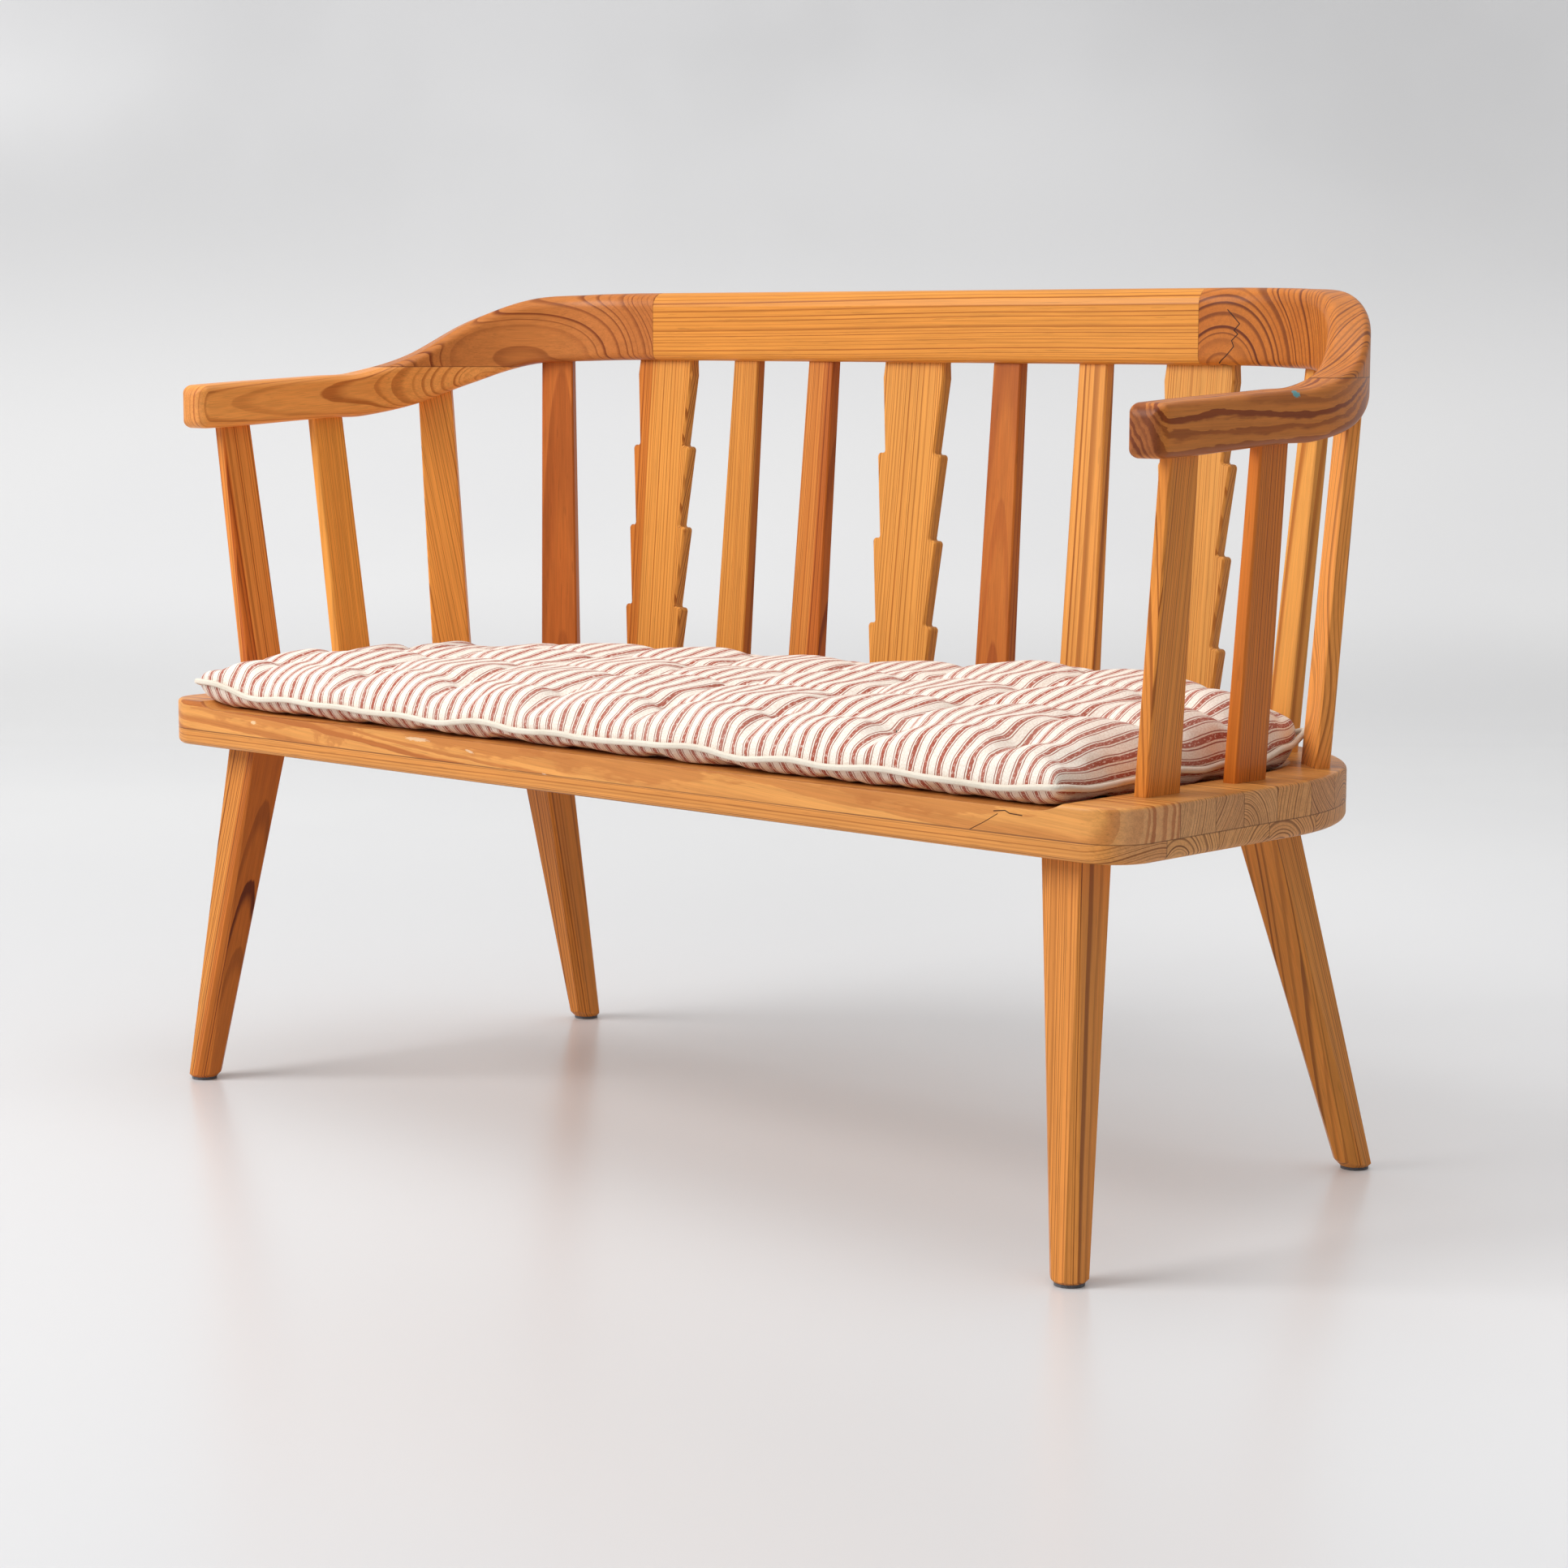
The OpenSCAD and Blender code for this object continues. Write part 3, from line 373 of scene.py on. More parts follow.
# Each pale scuff: x, height above the floor, half length, half height, turn, shade, strength
front_wear += [
    ((x, front_face, z), (length, 0.004, height), (0, turn, 0), shade, strength)
    for x, z, length, height, turn, shade, strength in (
        (-0.226, 0.3895, 0.020, 0.0022, 0, (246, 222, 188), 0.5),
        (-0.150, 0.3840, 0.007, 0.0014, 0.2, (246, 226, 196), 0.5),
        (-0.040, 0.3690, 0.010, 0.0020, 0.3, (248, 230, 205), 0.6),
        (-0.480, 0.3860, 0.005, 0.0022, 0, (244, 214, 170), 0.7))]
along_front, faces_front = (0, 2), (0, -1, 0)
front_check = (
    ((0.500, 0.3890), (0.512, 0.3905), (0.517, 0.3885), (0.530, 0.3880)),
    along_front, 0.0007, faces_front)
front_line = (((0.4720, 0.3700), (0.4900, 0.3790), (0.5040, 0.3870)),
              along_front, 0.0005, faces_front)
front_stave = {
    "lean": -0.065, "wander": 0.007, "ripple": 0.0090, "summer": 0.36, "grime": 0.08,
    "marks": front_wear, "cracks": (front_check, front_line)}
for number, board in upper_boards.items():
    dress_stave("upper", number, board, 0, **(front_stave if number == 1 else {"grime": 0.25}))


# --- Legs ---
# Four splayed legs, sawn square, tapered and planed to eight sides towards the foot. Each stands
# in a round blind hole in the seat board.

def points_of(mesh):
    points = np.empty(len(mesh.vertices) * 3)
    mesh.vertices.foreach_get("co", points)
    return points.reshape(-1, 3)


def bar_axes(cad_name):
    """Middle of a long piece, then the directions of its length, width and thickness."""
    points = points_of(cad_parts[cad_name].data)
    heights, end_zone = points[:, 2], 0.012
    bottom = points[heights < heights.min() + end_zone].mean(0)
    top = points[heights > heights.max() - end_zone].mean(0)
    run = (top - bottom) / np.linalg.norm(top - bottom)
    flat = points - bottom - np.outer((points - bottom) @ run, run)
    width = np.linalg.eigh(flat.T @ flat)[1][:, 2]
    width = width * (1 if width[0] > 0 else -1)
    return Vector((bottom + top) / 2), Vector(run), Vector(width), Vector(np.cross(run, width))


# Pith of each leg from its middle (right, back), ring width, lean of the rings, colours of the
# early and the late wood, amber clouds, heart radius
legs = {
    "leg_front_right": ((0.120, 0.022), 0.0030, 0.012, (230, 148, 69), (140, 74, 24), 0.2, 0),
    "leg_front_left": ((0.100, 0.006), 0.0034, 0.040, (222, 144, 66), (118, 56, 17), 0.3, 0.098),
    "leg_back_right": ((0.030, 0.080), 0.0034, 0.030, (222, 144, 64), (138, 75, 24), 0.3, 0),
    "leg_back_left": ((0.090, 0.030), 0.0030, 0.010, (214, 132, 52), (130, 65, 15), 0.3, 0),
}
for leg, ((right, back), ring, lean, early, late, amber, heart) in legs.items():
    centre, run, _, _ = bar_axes(leg)
    dress(leg, pine(f"pine_{leg}", centre + Vector((right, back, 0)),
                    run + Vector((lean, lean / 4, 0)), ring, early, late, amber, heart=heart))


# --- Felt glides ---
# Four discs of grey needled felt under the feet, stuck on, a little smaller than the feet.

def build_felt():
    made, tree, shader, place = new_material("grey_felt")
    fuzz = tree.noise(place, (1400.0, 1400.0, 900.0), 3.0, 0.7)
    tree.set(shader, Roughness=0.95, Sheen_Weight=0.3,
             Base_Color=tree.blend(fuzz.between(0.3, 0.7), paint(58, 58, 62), paint(112, 112, 116)),
             Normal=tree.get("ShaderNodeBump", Strength=0.8, Distance=0.0006, Height=fuzz))
    return made


dress("felt_glides", build_felt())


# --- Slats of the arms and the back ---
# Twelve flat slats, tapered upwards, with eased edges, let into the seat board and the rail. Each
# comes from another plank: some are slab-sawn and reddish, some quarter-sawn with straight lines.

# Pith from the slat's middle (across, through), ring, lean across and through, colours of the
# early and the late wood, amber clouds, wander, heart radius
slats = {
    "arm_slat_left_1": ((0.046, 0.060), 0.0030, 0.012, 0.012,
        (228, 140, 62), (146, 73, 19), 0.5, 0.006, 0.066),
    "arm_slat_left_2": ((0.110, 0.020), 0.0024, 0.006, 0.0,
        (244, 164, 72), (186, 114, 44), 0.25, 0.003, 0),
    "arm_slat_left_3": ((-0.070, -0.026), 0.0028, -0.140, 0.0,
        (242, 158, 70), (182, 106, 38), 0.15, 0.003, 0),
    "arm_slat_left_4": ((0.004, 0.046), 0.0052, 0.002, 0.030,
        (206, 116, 48), (170, 88, 34), 0.5, 0.0015, 0),
    "back_slat_1": ((0.110, 0.030), 0.0024, -0.004, 0.0,
        (216, 144, 62), (160, 87, 26), 0.3, 0.003, 0.098),
    "back_slat_2": ((0.120, 0.012), 0.0032, 0.012, 0.0,
        (214, 134, 58), (150, 77, 24), 0.4, 0.003, 0.119),
    "back_slat_3": ((0.002, 0.036), 0.0046, 0.002, 0.034,
        (195, 112, 43), (164, 81, 28), 0.5, 0.0015, 0),
    "back_slat_4": ((0.075, 0.030), 0.0076, 0.006, 0.010,
        (236, 161, 78), (164, 92, 32), 0.2, 0.004, 0),
    "arm_slat_right_1": ((0.052, 0.026), 0.0022, 0.060, 0.0,
        (232, 146, 62), (158, 84, 26), 0.3, 0.002, 0),
    "arm_slat_right_2": ((0.140, 0.030), 0.0026, 0.006, 0.0,
        (218, 124, 42), (132, 64, 14), 0.4, 0.003, 0),
    "arm_slat_right_3": ((0.030, 0.048), 0.0036, 0.040, 0.020,
        (240, 158, 76), (172, 104, 42), 0.3, 0.004, 0),
    "arm_slat_right_4": ((0.012, 0.050), 0.0080, 0.006, 0.026,
        (231, 161, 79), (180, 104, 40), 0.4, 0.006, 0),
}
knot_below_middle, knot_size, knot_lift = 0.10, 0.03, 0.022


def dress_bar(bar, pith, ring, lean, tip_over, early, late, amber, wander, heart, **more):
    centre, run, width, depth = bar_axes(bar)
    knotty = bar == "arm_slat_right_3"
    dress(bar, pine(
        f"pine_{bar}", centre + width * pith[0] + depth * pith[1],
        run + width * lean + depth * tip_over, ring, early, late, amber, wander, heart=heart,
        knot=(centre - run * knot_below_middle, knot_size, knot_lift) if knotty else None, **more))


for slat, values in slats.items():
    dress_bar(slat, *values)


# --- Stepped splats ---
# Three wider boards in the back, sawn with three steps down each side like folk carving, with
# the steps' corners eased. The left one is part heartwood, the others are close-grained.

splats = {
    "splat_left": ((-0.120, 0.110), 0.0026, 0.004, 0.0,
        (226, 152, 68), (160, 89, 26), 0.2, 0.003, 0.158),
    "splat_centre": ((0.125, 0.115), 0.0032, 0.016, 0.0,
        (227, 155, 71), (166, 95, 28), 0.15, 0.003, 0),
    "splat_right": ((-0.150, 0.135), 0.0025, 0.003, 0.0,
        (225, 157, 76), (176, 104, 38), 0.15, 0.003, 0),
}
for splat, values in splats.items():
    dress_bar(splat, *values, flat=True)


# --- Back rail ---
# A straight length of pine along the back, with its grain along it, its upper front edge well
# rounded. It is butted and dowelled between the two corner blocks.

rail_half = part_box("rail_centre")[1].x
dress("rail_centre", pine(
    "pine_back_rail", middle("rail_centre") + Vector((0, -0.006, 0.062)), (1, 0.0, 0.006), 0.0120,
    (224, 148, 62), (164, 92, 28), 0.2, 0.003, crowd=1300, summer=0.6,
    joints=((0, -rail_half), (0, rail_half))))
dress("rail_dowels", pine(
    "pine_dowels", middle("rail_dowels"), (1, 0, 0), 0.0015, (226, 200, 156), (190, 154, 93), 0.0))


# --- Arm and corner blocks ---
# Each end of the rail is one sculpted sweep: level along the arm, then rising and turning into
# the back. It is glued from a lower arm block and an upper corner block and carved to shape.

rail_x, rail_y, corner_radius = 0.621, 0.2215, 0.221
rail_width, edge_round, back_round, tip_round = 0.038, 0.008, 0.015, 0.012
tip_y = -0.2225
corner_y = rail_y - corner_radius
arm_run = corner_y - tip_y
arc_run = corner_radius * math.pi / 2
joint_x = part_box("rail_upper_right")[0].x
glue_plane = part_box("rail_upper_right")[0].z
rail_run = arm_run + arc_run + rail_x - corner_radius - joint_x
# Distances from the arm's tip, and the rail's top and underside there
rail_stations = [0, 0.0535, 0.179] + [arm_run + arc_run * i / 5 for i in range(6)] + [rail_run]
rail_tops = [0.726, 0.729, 0.735, 0.7375, 0.7555, 0.7935, 0.8175, 0.8225, 0.824, 0.824]
rail_unders = [0.681, 0.683, 0.690, 0.691, 0.7025, 0.7255, 0.7465, 0.7505, 0.752, 0.752]


def smooth_curve(stations, values, at):
    i = min(max(int(np.searchsorted(stations, at, "right")) - 1, 0), len(stations) - 2)

    def slope(k):
        a, b = max(k - 1, 0), min(k + 1, len(stations) - 1)
        return (values[b] - values[a]) / (stations[b] - stations[a])

    step = stations[i + 1] - stations[i]
    t = (at - stations[i]) / step
    return ((2 * t**3 - 3 * t**2 + 1) * values[i] + (t**3 - 2 * t**2 + t) * slope(i) * step
            + (3 * t**2 - 2 * t**3) * values[i + 1] + (t**3 - t**2) * slope(i + 1) * step)


def rail_section(at, turn):
    """The rounded section as (across, z): arcs of 9 points, and 3 points on each flat side."""
    tip = min(at, tip_round)
    inset = tip_round - math.sqrt(tip * (2 * tip_round - tip))
    half = rail_width / 2 - inset
    low = smooth_curve(rail_stations, rail_unders, at) + inset
    high = smooth_curve(rail_stations, rail_tops, at) - inset
    front_round = edge_round + (back_round - edge_round) * turn
    arcs = []
    for side, level, radius, start in (
        (1, low, edge_round, -90), (1, high, edge_round, 0),
        (-1, high, front_round, 90), (-1, low, edge_round, 180),
    ):
        radius = max(radius - inset, 0.0006)
        cx, cz = side * (half - radius), level + (radius if level == low else -radius)
        angles = [math.radians(start + 90 * k / 8) for k in range(9)]
        arcs.append([(cx + radius * math.cos(a), cz + radius * math.sin(a)) for a in angles])
    section = []
    for arc, after in zip(arcs, arcs[1:] + arcs[:1]):
        section += arc
        for share in (0.06, 0.5, 0.94):
            section.append(tuple(a + (b - a) * share for a, b in zip(arc[-1], after[0])))
    return section


def rail_ring(at):
    """Corners of the rail's section at a distance from the arm's tip."""
    turn = min(max((at - arm_run) / arc_run, 0), 1)
    angle = turn * math.pi / 2
    outward = Vector((math.cos(angle), math.sin(angle), 0))
    if at < arm_run:
        base = Vector((rail_x, tip_y + at, 0))
    elif at < arm_run + arc_run:
        base = Vector((rail_x - corner_radius, corner_y, 0)) + corner_radius * outward
    else:
        base = Vector((rail_x - corner_radius - (at - arm_run - arc_run), rail_y, 0))
    return [base + outward * across + Vector((0, 0, z)) for across, z in rail_section(at, turn)]


def put(name, data):
    """A new object in the scene."""
    made = bpy.data.objects.new(name, data)
    bpy.context.scene.collection.objects.link(made)
    return made


def smooth(mesh):
    mesh.polygons.foreach_set("use_smooth", [True] * len(mesh.polygons))


def mesh_from(shape, name):
    mesh = bpy.data.meshes.new(name)
    shape.to_mesh(mesh)
    shape.free()
    smooth(mesh)
    return mesh


def rail_block(name, side, upper):
    """The right sweep, cut at the glue plane, mirrored for the left."""
    stops = [tip_round * (1 - math.cos(math.radians(a))) for a in range(0, 91, 9)]
    stops += list(np.linspace(tip_round, arm_run, 30)[1:])
    stops += [arm_run + arc_run * i / 48 for i in range(1, 49)] + [rail_run]
    shape = bmesh.new()
    rings = [[shape.verts.new(p) for p in rail_ring(at)] for at in stops]
    for one, two in zip(rings, rings[1:]):
        for k in range(len(one)):
            n = (k + 1) % len(one)
            shape.faces.new((one[k], one[n], two[n], two[k]))
    shape.faces.new(rings[0][::-1])
    shape.faces.new(rings[-1])
    cut = bmesh.ops.bisect_plane(
        shape, geom=shape.verts[:] + shape.edges[:] + shape.faces[:], plane_co=(0, 0, glue_plane),
        plane_no=(0, 0, 1), clear_inner=upper, clear_outer=not upper)
    rim = [g for g in cut["geom_cut"] if isinstance(g, bmesh.types.BMEdge)]
    bmesh.ops.contextual_create(shape, geom=rim)
    if side < 0:
        bmesh.ops.scale(shape, vec=(-1, 1, 1), verts=shape.verts)
    bmesh.ops.remove_doubles(shape, verts=shape.verts, dist=1e-6)
    bmesh.ops.recalc_face_normals(shape, faces=shape.faces)
    mesh = mesh_from(shape, name)
    mesh.set_sharp_from_angle(angle=math.radians(38))
    return put(name, mesh)


corner_check = ((
    (0.3960, 0.8035), (0.4100, 0.7905), (0.4035, 0.7845), (0.4080, 0.7810), (0.4010, 0.7750),
    (0.4035, 0.7695), (0.3945, 0.7605), (0.3855, 0.7540)), along_front, 0.0008, faces_front)
# Specks of turquoise and of silvery paint on the arm's outer face
arm_specks = (
    ((0.6377, -0.035, 0.7315), (0.006, 0.006, 0.004), (0, 0, 0), (96, 168, 172), 0.9),
    ((0.6377, -0.218, 0.7280), (0.006, 0.004, 0.003), (0, 0, 0), (190, 196, 190), 0.8))
glue_line = ((2, glue_plane),)
# Each block's side, whether it is an upper one, its slot and its wood
corner_blocks = {
    "rail_upper_right": (1, True, "pine_rail_block", pine(
        "pine_corner_right", (0.389, 0.20, 0.742), (0.03, 1, 0.02), 0.0110,
        (210, 126, 48), (114, 50, 12), 0.35, joints=glue_line, grime=0.2, crowd=320,
        summer=0.50, cracks=(corner_check,))),
    "rail_upper_left": (-1, True, "pine_rail_block", pine(
        "pine_corner_left", (-0.5465, 0.1837, 0.753), (0.788, 0.616, 0.0), 0.0400,
        (194, 118, 56), (128, 60, 20), 0.3, joints=glue_line, crowd=1000, summer=0.62,
        heart=0.036)),
    "arm_lower_right": (1, False, "pine_arm_block", pine(
        "pine_arm_right", (0.570, -0.10, 0.670), (0.0, 1, 0.02), 0.0068,
        (208, 126, 54), (138, 62, 14), 0.2, 0.006, joints=glue_line, grime=0.12, summer=0.34,
        ripple=0.0120, ends=(0.55, 0.50, 0.66, 1), marks=arm_specks)),
    "arm_lower_left": (-1, False, "pine_arm_block", pine(
        "pine_arm_left", (-0.5425, -0.1235, 0.711), (-0.04, 1, 0.07), 0.0046,
        (242, 162, 82), (190, 109, 46), 0.25, 0.002, joints=glue_line, ripple=0.0014,
        summer=0.55)),
}
for block, (side, upper, slot_name, finish) in corner_blocks.items():
    piece = rail_block(block + "_carved", side, upper)
    piece.data.materials.append(finish)
    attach(piece, "frame")
    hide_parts(block)


# --- Seat cushion ---
# A loose pad of two panels of striped ticking, filled with wool and sewn through with 32 tufts.
# The tufts draw it in, so it swells between them, and its filled edge lies in small waves.

pad_half = Vector((0.568, 0.197))
pad_middle = Vector((-0.007, -0.0545))
front_pull, back_pull, back_shift, front_left_reach = 0.1, 0.385, 0.0075, 0.010
seam_height, seam_rise, corner_lift = 0.4099, 0.005, 0.012
wave_height, seam_waves = 0.0013, ((0.0160, 0.4), (0.0215, 2.2), (0.0380, 4.1))
top_swell, bottom_swell, crown = 0.080, 0.036, 0.041
bottom_level, lying_below = 0.3942, 0.3948
tuft_columns, tuft_rows = 8, 4
tuft_step = Vector((0.140, 0.096))
dimple_depth, dimple_reach = 0.013, 0.022
groove_depth, groove_across, groove_along, groove_end = 0.0045, 0.012, 0.010, 0.05


def pad_plan(u, v):
    """Plan position of a point of the flat-laid pad, each of u and v from -1 to 1."""
    back = (v + 1) / 2
    pull = front_pull + (back_pull - front_pull) * back
    bow = pull * pull / 2
    x = back_shift * back + pad_half.x * u * np.sqrt(1 - bow * v * v)
    y = pad_half.y * v * np.sqrt(1 - 4 * bow * u**4)
    return x - front_left_reach * corner_share(u, v, (-1, -1), 0.045), y


def corner_share(u, v, corner, reach):
    """1 at a corner of the pad, falling to nothing over a reach in metres."""
    gap = ((u - corner[0]) * pad_half.x) ** 2 + ((v - corner[1]) * pad_half.y) ** 2
    return np.exp(-gap / reach**2)


def seam_level(u, v):
    """Height of the seam: up at the back and at two corners, with small waves along it."""
    x, y = pad_plan(u, v)
    walk = x - 1.3 * y
    waves = sum(wave_height * np.sin(walk / size + start) for size, start in seam_waves)
    lift = corner_lift * np.maximum(u * v, 0) ** 8
    return seam_height + seam_rise * (v + 1) / 2 + lift + waves


def swell(distance, width):
    t = np.clip(distance / width, 0, 1)
    return np.sqrt(np.maximum(t * (2 - t), 0))


def swelled(u, v, width):
    a = swell((1 - np.abs(u)) * pad_half.x, width)
    b = swell((1 - np.abs(v)) * pad_half.y, width)
    both = np.maximum(a * b, 1e-9)
    return np.where(a * b < 1e-9, 0, both / np.sqrt(np.maximum(a * a + b * b - both * both, 1e-12)))


def to_tuft(d, step, count):
    k = np.clip(np.round(d / step + (count - 1) / 2), 0, count - 1)
    return d - (k - (count - 1) / 2) * step


def pad_top(u, v):
    x, y = pad_plan(u, v)
    dx, dy = to_tuft(x, tuft_step.x, tuft_columns), to_tuft(y, tuft_step.y, tuft_rows)
    dimple = dimple_depth * np.exp(-np.hypot(dx, dy) / dimple_reach)
    from_side, from_front = (1 - np.abs(u)) * pad_half.x, (1 - np.abs(v)) * pad_half.y
    inside = np.clip(from_front / groove_end, 0, 1) * np.clip(from_side / groove_end, 0, 1)
    groove = groove_depth * inside * (
        np.exp(-(dx / groove_across) ** 2) + np.exp(-(dy / groove_along) ** 2))

    # At the back the filling has moved to the right, and away from that end's corner
    shifted = (0.017 * np.maximum(u + 0.7, 0) / 1.7 + 0.024 * np.maximum(u, 0) ** 1.2
               - 0.022 * np.exp(-((u + 0.80) / 0.10) ** 2))
    rise = shifted * ((v + 1) / 2) ** 1.5
    flat = 1 - 0.40 * corner_share(u, v, (1, 1), 0.120)
    filled = flat * swelled(u, v, top_swell) * (crown + rise - dimple - groove)
    return x, y, seam_level(u, v) + filled


def pad_bottom(u, v):
    x, y = pad_plan(u, v)
    share = swelled(u, v, bottom_swell)
    return x, y, seam_level(u, v) * (1 - share) + bottom_level * share


def on_the_seat(points):
    """Lifts what would sink into the seat: a flat hollow with a round ramp up to its rim."""
    ramp_width, ramp_radius, hollow_z, gap = 0.028, 0.05602, 0.3935, 0.0006
    bend_x, bend_y, bend_radius = 0.4205, 0.0200, 0.122
    past_x = np.maximum(np.abs(points[:, 0]) - bend_x, 0)
    past_y = np.maximum(points[:, 1] - bend_y, 0)
    up_ramp = np.clip(np.hypot(past_x, past_y) - bend_radius, 0, ramp_width)
    seat = hollow_z + ramp_radius - np.sqrt(ramp_radius**2 - up_ramp**2)
    points[:, 2] = np.maximum(points[:, 2], seat + gap)


def along_cloth(lines, half):
    """Distance along the panel from its middle, over the swell at its edge."""
    fine = np.linspace(-1, 1, 1201)
    heights = 0.045 * swell((1 - np.abs(fine)) * half, top_swell)
    walked = np.concatenate(([0], np.cumsum(np.hypot(np.diff(fine) * half, np.diff(heights)))))
    return np.interp(lines, fine, walked - walked[-1] / 2)


def close_lines(count):
    """Lines from -1 to 1, closer together towards the ends."""
    even = np.linspace(-1, 1, count)
    return even * 0.72 + np.sin(even * math.pi / 2) * 0.28


def build_pad():
    """The pad, the seam's points in order, each tuft's point, and the points on the seat."""
    us, vs = close_lines(171), close_lines(61)
    nu, nv = len(us), len(vs)
    u, v = np.meshgrid(us, vs)
    cloth_x, cloth_y = along_cloth(us, pad_half.x), along_cloth(vs, pad_half.y)
    top = np.stack(pad_top(u, v), -1).reshape(-1, 3)
    bottom = np.stack(pad_bottom(u, v), -1).reshape(-1, 3)
    rim = ((np.abs(u) == 1) | (np.abs(v) == 1)).reshape(-1)
    bottom_id = np.full(nu * nv, -1)
    bottom_id[~rim] = np.arange((~rim).sum()) + nu * nv
    bottom_id[rim] = np.flatnonzero(rim)
    points = np.concatenate((top, bottom[~rim]))
    points += np.array((pad_middle.x, pad_middle.y, 0))
    on_the_seat(points)

    # The bottom panel's part of the UV layer lies beside the top's, with its stripes shifted
    faces, uvs, shift = [], [], np.array((0.005, 1))
    for j in range(nv - 1):
        for i in range(nu - 1):
            around = ((j, i), (j, i + 1), (j + 1, i + 1), (j + 1, i))
            back_round = (around[0], around[3], around[2], around[1])
            faces.append(tuple(m * nu + k for m, k in around))
            uvs += [(cloth_x[k], cloth_y[m]) for m, k in around]
            faces.append(tuple(int(bottom_id[m * nu + k]) for m, k in back_round))
            uvs += [(cloth_x[k] + shift[0], cloth_y[m] + shift[1]) for m, k in back_round]
    mesh = bpy.data.meshes.new("pad")
    mesh.from_pydata(points.tolist(), [], faces)
    mesh.uv_layers.new(name="cloth").data.foreach_set("uv", np.array(uvs).ravel())
    smooth(mesh)

    seam = [j * nu + i for j, i in (
        [(0, i) for i in range(nu - 1)] + [(j, nu - 1) for j in range(nv - 1)]
        + [(nv - 1, i) for i in range(nu - 1, 0, -1)] + [(j, 0) for j in range(nv - 1, 0, -1)])]
    plan = points[:nu * nv, :2] - np.array(pad_middle)
    tufts = []
    for k in range(tuft_columns):
        for m in range(tuft_rows):
            at = np.array(((k - (tuft_columns - 1) / 2) * tuft_step.x,
                           (m - (tuft_rows - 1) / 2) * tuft_step.y))
            tufts.append(int(np.argmin(np.hypot(*(plan - at).T))))
    lying = np.flatnonzero(points[:, 2] < lying_below).tolist()
    return put("seat_pad", mesh), seam, tufts, lying


def evaluated(piece):
    return piece.evaluated_get(bpy.context.evaluated_depsgraph_get())


def settle(piece, held):
    """Lets the filling blow the cloth up between the held points, then keeps that shape."""
    frames, cap = 20, 0.004
    before = points_of(piece.data)
    piece.vertex_groups.new(name="held").add(held, 1.0, "REPLACE")
    cloth = piece.modifiers.new("filling", "CLOTH")
    for name, value in {
        "quality": 6, "mass": 0.25, "tension_stiffness": 12, "compression_stiffness": 12,
        "shear_stiffness": 4, "bending_stiffness": 0.15, "tension_damping": 8,
        "compression_damping": 8, "vertex_group_mass": "held", "pin_stiffness": 1.0,
        "shrink_min": -0.035, "use_pressure": True, "uniform_pressure_force": 4,
    }.items():
        setattr(cloth.settings, name, value)
    cloth.settings.effector_weights.gravity = 0
    cloth.collision_settings.use_collision = False
    cloth.collision_settings.use_self_collision = False
    cloth.point_cache.frame_start, cloth.point_cache.frame_end = 1, frames
    for step in range(1, frames + 1):
        bpy.context.scene.frame_set(step)
    settled = evaluated(piece)
    move = points_of(settled.to_mesh()) - before
    settled.to_mesh_clear()
    piece.modifiers.remove(cloth)
    bpy.context.scene.frame_set(1)
    far = np.maximum(np.linalg.norm(move, axis=1, keepdims=True), 1e-9)
    after = before + move * (cap * np.tanh(far / cap) / far)
    on_the_seat(after)
    piece.data.vertices.foreach_set("co", after.ravel())
    piece.vertex_groups.clear()
    piece.data.update()


def subdivide(piece):
    made = piece.modifiers.new("fine", "SUBSURF")
    made.levels = made.render_levels = 1
    made.uv_smooth = "NONE"
    fine = bpy.data.meshes.new_from_object(evaluated(piece))
    piece.modifiers.clear()
    piece.data = fine


def build_ticking():
    """Cotton ticking: every 16 mm a mottled red band between two fine red lines, on cream."""
    made, tree, shader, _ = new_material("ticking")
    cloth = tree.get("ShaderNodeUVMap", uv_map="cloth")
    across, along, _ = cloth.parts()
    strayed = (tree.noise(cloth, (300.0, 60.0, 1.0), dimensions="2D") - 0.5) * 0.0006 + across
    turn = (strayed + 8.0) / 0.016
    from_band = abs(turn.maths("FRACT") - 0.5) * 16.0
    band = from_band.between(1.90, 2.25, 1.0, 0.0)
    line = abs(from_band - 3.75).between(0.35, 0.65, 1.0, 0.0)

    # Undyed slubs show through the red bands as short light flecks along them
    slubs = tree.noise(cloth, (900.0, 240.0, 1.0), dimensions="2D")
    worn = tree.noise(cloth * (1.0, 1.0, 0.0), (9.0, 9.0, 1.0)).between(0.35, 0.65, 0.88, 1.0)
    red_share = band * slubs.between(0.56, 0.70, 1.0, 0.35) * worn
    red = tree.blend(slubs, paint(152, 72, 54), paint(190, 106, 86))
    weft = tree.noise(cloth, (700.0, 420.0, 1.0), dimensions="2D")
    ground = tree.blend(weft.between(0.3, 0.7), paint(236, 224, 210), paint(250, 243, 232))
    colour = tree.blend(red_share, ground, red)
    colour = tree.blend(line * 0.9, colour, paint(158, 86, 68))

    def thread(value):
        return abs((value * (2 * math.pi / 0.0016)).maths("SINE"))

    relief = weft * 0.6 + thread(across).maths("MAXIMUM", thread(along)) * 0.4
    tree.set(shader, Base_Color=colour, Roughness=weft.between(0.2, 0.8, 0.82, 0.95),
             Normal=tree.get("ShaderNodeBump", Strength=0.55, Distance=0.0004, Height=relief),
             Sheen_Weight=0.10, Sheen_Roughness=0.45, Specular_IOR_Level=0.15)
    return made


